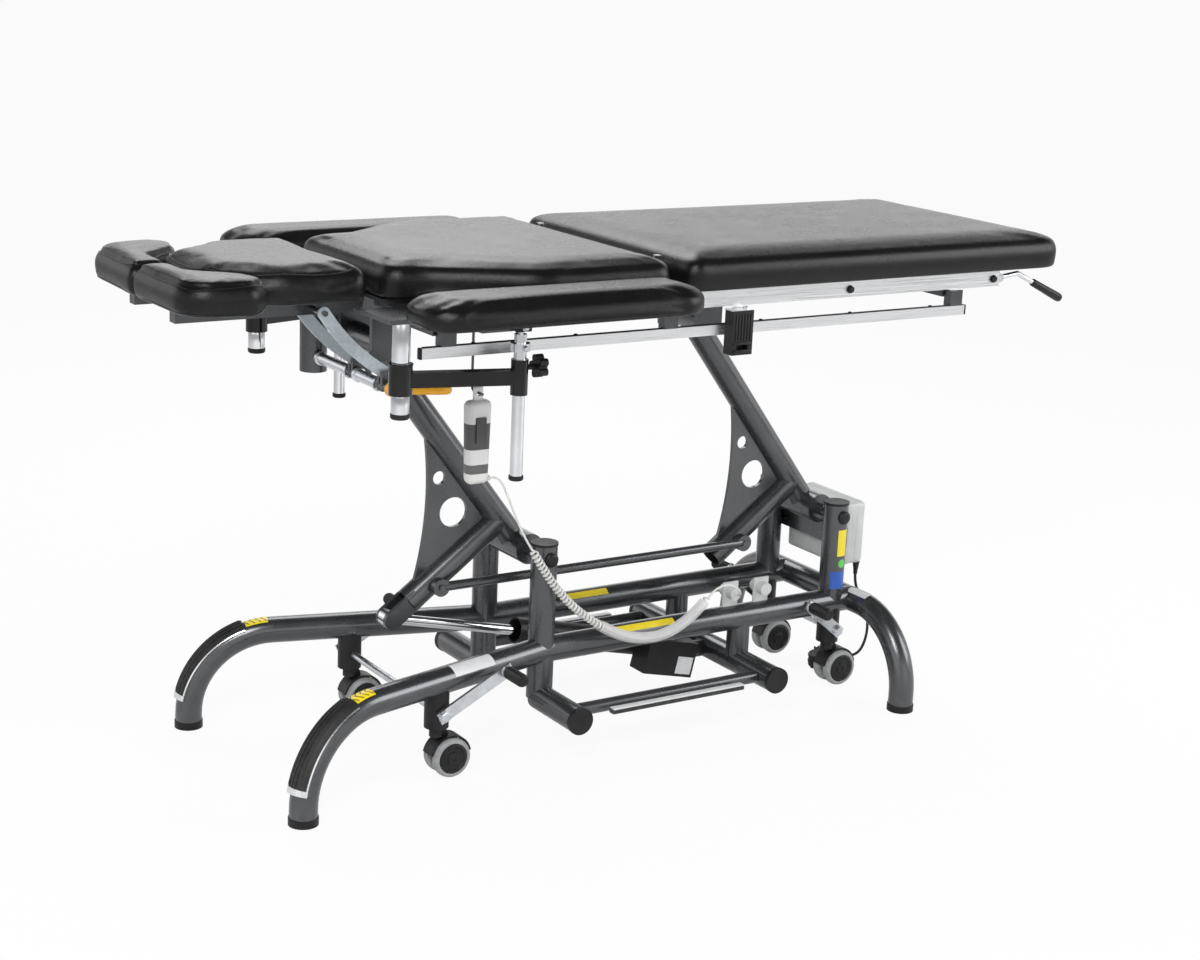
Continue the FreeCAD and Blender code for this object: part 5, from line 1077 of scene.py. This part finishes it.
# Hand switch: rounded shell with a hanging tab, a rocker pocket and a cable nub
SWITCH_MIDDLE = -0.53
NUB_PROFILE = [(0.0, 0.0052), (0.006, 0.0052), (0.007, 0.0042), (0.0085, 0.0042), (0.0095, 0.005),
               (0.011, 0.0048), (0.0125, 0.0034)]
shell = soft_block(mm(-555, -164, 545), mm(-505, -136, 700), 0.011, 6)
for vertex in shell.data.vertices:
    narrow = 1 - 0.16 * eased((0.6 - vertex.co.z) / 0.055)
    vertex.co.x = SWITCH_MIDDLE + (vertex.co.x - SWITCH_MIDDLE) * narrow
pocket = soft_block(mm(-540.6, -170, 622.9), mm(-519.4, -157.5, 670.1), 0.0012, 2)
tab = soft_block(mm(-540, -153, 697), mm(-520, -147, 724), 0.0025, 3)
eyelet = turned(mm(-530, -160, 711.4), mm(-530, -140, 711.4), [(0.0, 0.0045), (0.02, 0.0045)], 32)
for piece, tool in ((shell, pocket), (tab, eyelet)):
    finish_modifier(piece, "BOOLEAN", object=tool, operation="DIFFERENCE", solver="EXACT")
    bpy.data.objects.remove(tool)
    smooth(piece)
nub = turned(mm(-512, -150, 552), SWITCH_EXIT, NUB_PROFILE, 28)
dress(as_one([shell, tab, nub]), "handset_shell", "top", SWITCH_SHELL, "white_plastic", "hand_switch")

# Release lever's tapered grip and the tilt handle's moulded grip
RELEASE_PROFILE = [(0.0, 0.0062), (0.003, 0.0078), (0.03, 0.0081), (0.06, 0.0088), (0.084, 0.0092),
                   (0.0895, 0.0082), (0.092, 0.0052)]
HANDLE_PROFILE = [(0.0, 0.0072), (0.004, 0.0078), (0.03, 0.0084), (0.07, 0.0088), (0.086, 0.0086),
                  (0.092, 0.007), (0.0945, 0.004)]
tip = mm(774, -262, 826)
knee = mm(650, -262, 884)
grip = turned(tip + (knee - tip).normalized() * 0.09, tip, RELEASE_PROFILE, 32)
moulded(grip, "release_grip", "release")
handle = turned(mm(-700, -186, 739.5), mm(-612, -186, 732.7), HANDLE_PROFILE, 36)
dress(handle, "tilt_grip", "handle", YELLOW_GRIP, "yellow_plastic")

# Control box: two moulded halves with a seam, screws, and a ribbed cable gland
GLAND_PROFILE = [(0.0, 0.0075), (0.003, 0.0075), (0.004, 0.0068), (0.007, 0.0068), (0.008, 0.0062),
                 (0.011, 0.0062), (0.012, 0.0056), (0.015, 0.0056), (0.016, 0.005), (0.019, 0.005),
                 (0.020, 0.0046), (0.028, 0.0043)]
halves = [soft_block(mm(386.4, -90, 250), mm(417.6, 90, 385), 0.009, 5),
          soft_block(mm(419, -90, 250), mm(450.4, 90, 385), 0.011, 5),
          soft_block(mm(400, -88.6, 251.4), mm(438, 88.6, 383.6), 0.007, 3)]
dress(as_one(halves), "control_housing", "base", PALE_PLASTIC, "grey_plastic", "control_box")
gland = turned(mm(442.4, -78, 252), mm(442.4, -78, 220), GLAND_PROFILE, 28)
dress(gland, "cable_gland", "base", LEAD_RUBBER, "black_rubber")
box_screws = [hex_bolt(mm(450.2, y, z), (1, 0, 0), 0.007, 0.002) for y in (-76, 76) for z in (264, 371)]
dress(as_one(box_screws), "control_screws", "base", ZINC, "zinc")


# Studio: pale floor, white surround, soft lamps, and the camera at the photograph's angle
def mixed(tree, factor, first, second):
    """Two shaders mixed by a factor."""
    made = tree.nodes.new("ShaderNodeMixShader")
    for place, value in enumerate((factor, first, second)):
        feed(tree, made, place, value)
    return made.outputs["Shader"]


# Share of plain white in the floor as seen, light from the surround, and the surround as seen
FLOOR_WHITE = 0.92
LIT = 0.5
SHOWN = 1.0
# The room in reflections: its wall's light falls with height, and varies round it in panels
WALL_SPAN = (0.28, 0.52)
WALL_LIGHT = (1.6, 0.1)
PANEL_TURNS = -5.0
PANEL_SPAN = (-0.7, 0.3)
PANEL_LIGHT = (0.6, 1.1)
clear()
bpy.ops.mesh.primitive_plane_add(size=400, location=(0, 0, -0.0005))
floor = bpy.context.object
floor.name = "studio_floor"
settle(floor)
floor_finish, tree, shader = new_finish("studio_floor")
feed_all(tree, shader, Base_Color=(0.86, 0.86, 0.86), Roughness=0.9)
glow = tree.nodes.new("ShaderNodeEmission")
feed_all(tree, glow, Color=(1, 1, 1))
path = tree.nodes.new("ShaderNodeLightPath").outputs
seen = sums(tree, "MULTIPLY", path["Is Camera Ray"], FLOOR_WHITE)
feed_all(tree, tree.nodes["Material Output"],
         Surface=mixed(tree, seen, shader.outputs["BSDF"], glow.outputs["Emission"]))
floor.data.materials.append(floor_finish)

world = bpy.data.worlds.new("studio")
SCENE.world = world
world.use_nodes = True
tree = world.node_tree
lit = tree.nodes["Background"]
shown = tree.nodes.new("ShaderNodeBackground")
mirrored = tree.nodes.new("ShaderNodeBackground")
path = tree.nodes.new("ShaderNodeLightPath").outputs
feed_all(tree, lit, Color=(1, 1, 1), Strength=LIT)
feed_all(tree, shown, Color=(1, 1, 1), Strength=SHOWN)
way = axes(tree, tree.nodes.new("ShaderNodeTexCoord").outputs["Generated"])
wall = spread(tree, way["Z"], *WALL_SPAN, *WALL_LIGHT)
around = sums(tree, "ARCTAN2", way["Y"], way["X"])
panels = sums(tree, "SINE", sums(tree, "MULTIPLY", around, PANEL_TURNS))
panel_light = spread(tree, panels, *PANEL_SPAN, *PANEL_LIGHT)
feed_all(tree, mirrored, Strength=sums(tree, "MULTIPLY", wall, panel_light))
rays = sums(tree, "MAXIMUM", path["Is Camera Ray"], path["Is Transmission Ray"])
plain = mixed(tree, rays, lit.outputs["Background"], shown.outputs["Background"])
room = mixed(tree, path["Is Glossy Ray"], plain, mirrored.outputs["Background"])
feed_all(tree, tree.nodes["World Output"], Surface=room)


def lamp(name, place, target, wide, power):
    """A soft square lamp that looks at a point."""
    clear()
    bpy.ops.object.light_add(type="AREA", location=place)
    made = bpy.context.object
    made.name = name
    made.data.size = wide
    made.data.energy = power
    made.rotation_euler = (Vector(target) - Vector(place)).to_track_quat("-Z", "Y").to_euler()


lamp("key_lamp", (-2.6, -2.6, 3.2), (-0.1, 0, 0.5), wide=1.6, power=100)
lamp("fill_lamp", (2.8, -2.2, 2.0), (0.1, 0, 0.5), wide=1.8, power=55)
lamp("back_lamp", (0.6, 2.8, 3.4), (0.1, 0, 0.8), wide=2.0, power=55)

EYE = (-2.4241, -3.4361, 1.5674)
AZIMUTH, PITCH, ROLL = (math.radians(angle) for angle in (-33.36, 14.88, 2.56))
level = Vector((-math.sin(AZIMUTH), math.cos(AZIMUTH), 0))
ahead = level * math.cos(PITCH) - Vector((0, 0, math.sin(PITCH)))
right = Vector((math.cos(AZIMUTH), math.sin(AZIMUTH), 0))
up = right.cross(ahead)
tilted_right = right * math.cos(ROLL) + up * math.sin(ROLL)
tilted_up = up * math.cos(ROLL) - right * math.sin(ROLL)
view = bpy.data.cameras.new("photo_camera")
view.sensor_width = 36
view.lens = 65.0
view.clip_end = 500
camera = bpy.data.objects.new("photo_camera", view)
SCENE.collection.objects.link(camera)
turn = Matrix((tilted_right, tilted_up, -ahead)).transposed().to_4x4()
camera.matrix_world = Matrix.Translation(EYE) @ turn
SCENE.camera = camera
SCENE.view_settings.view_transform = "Standard"
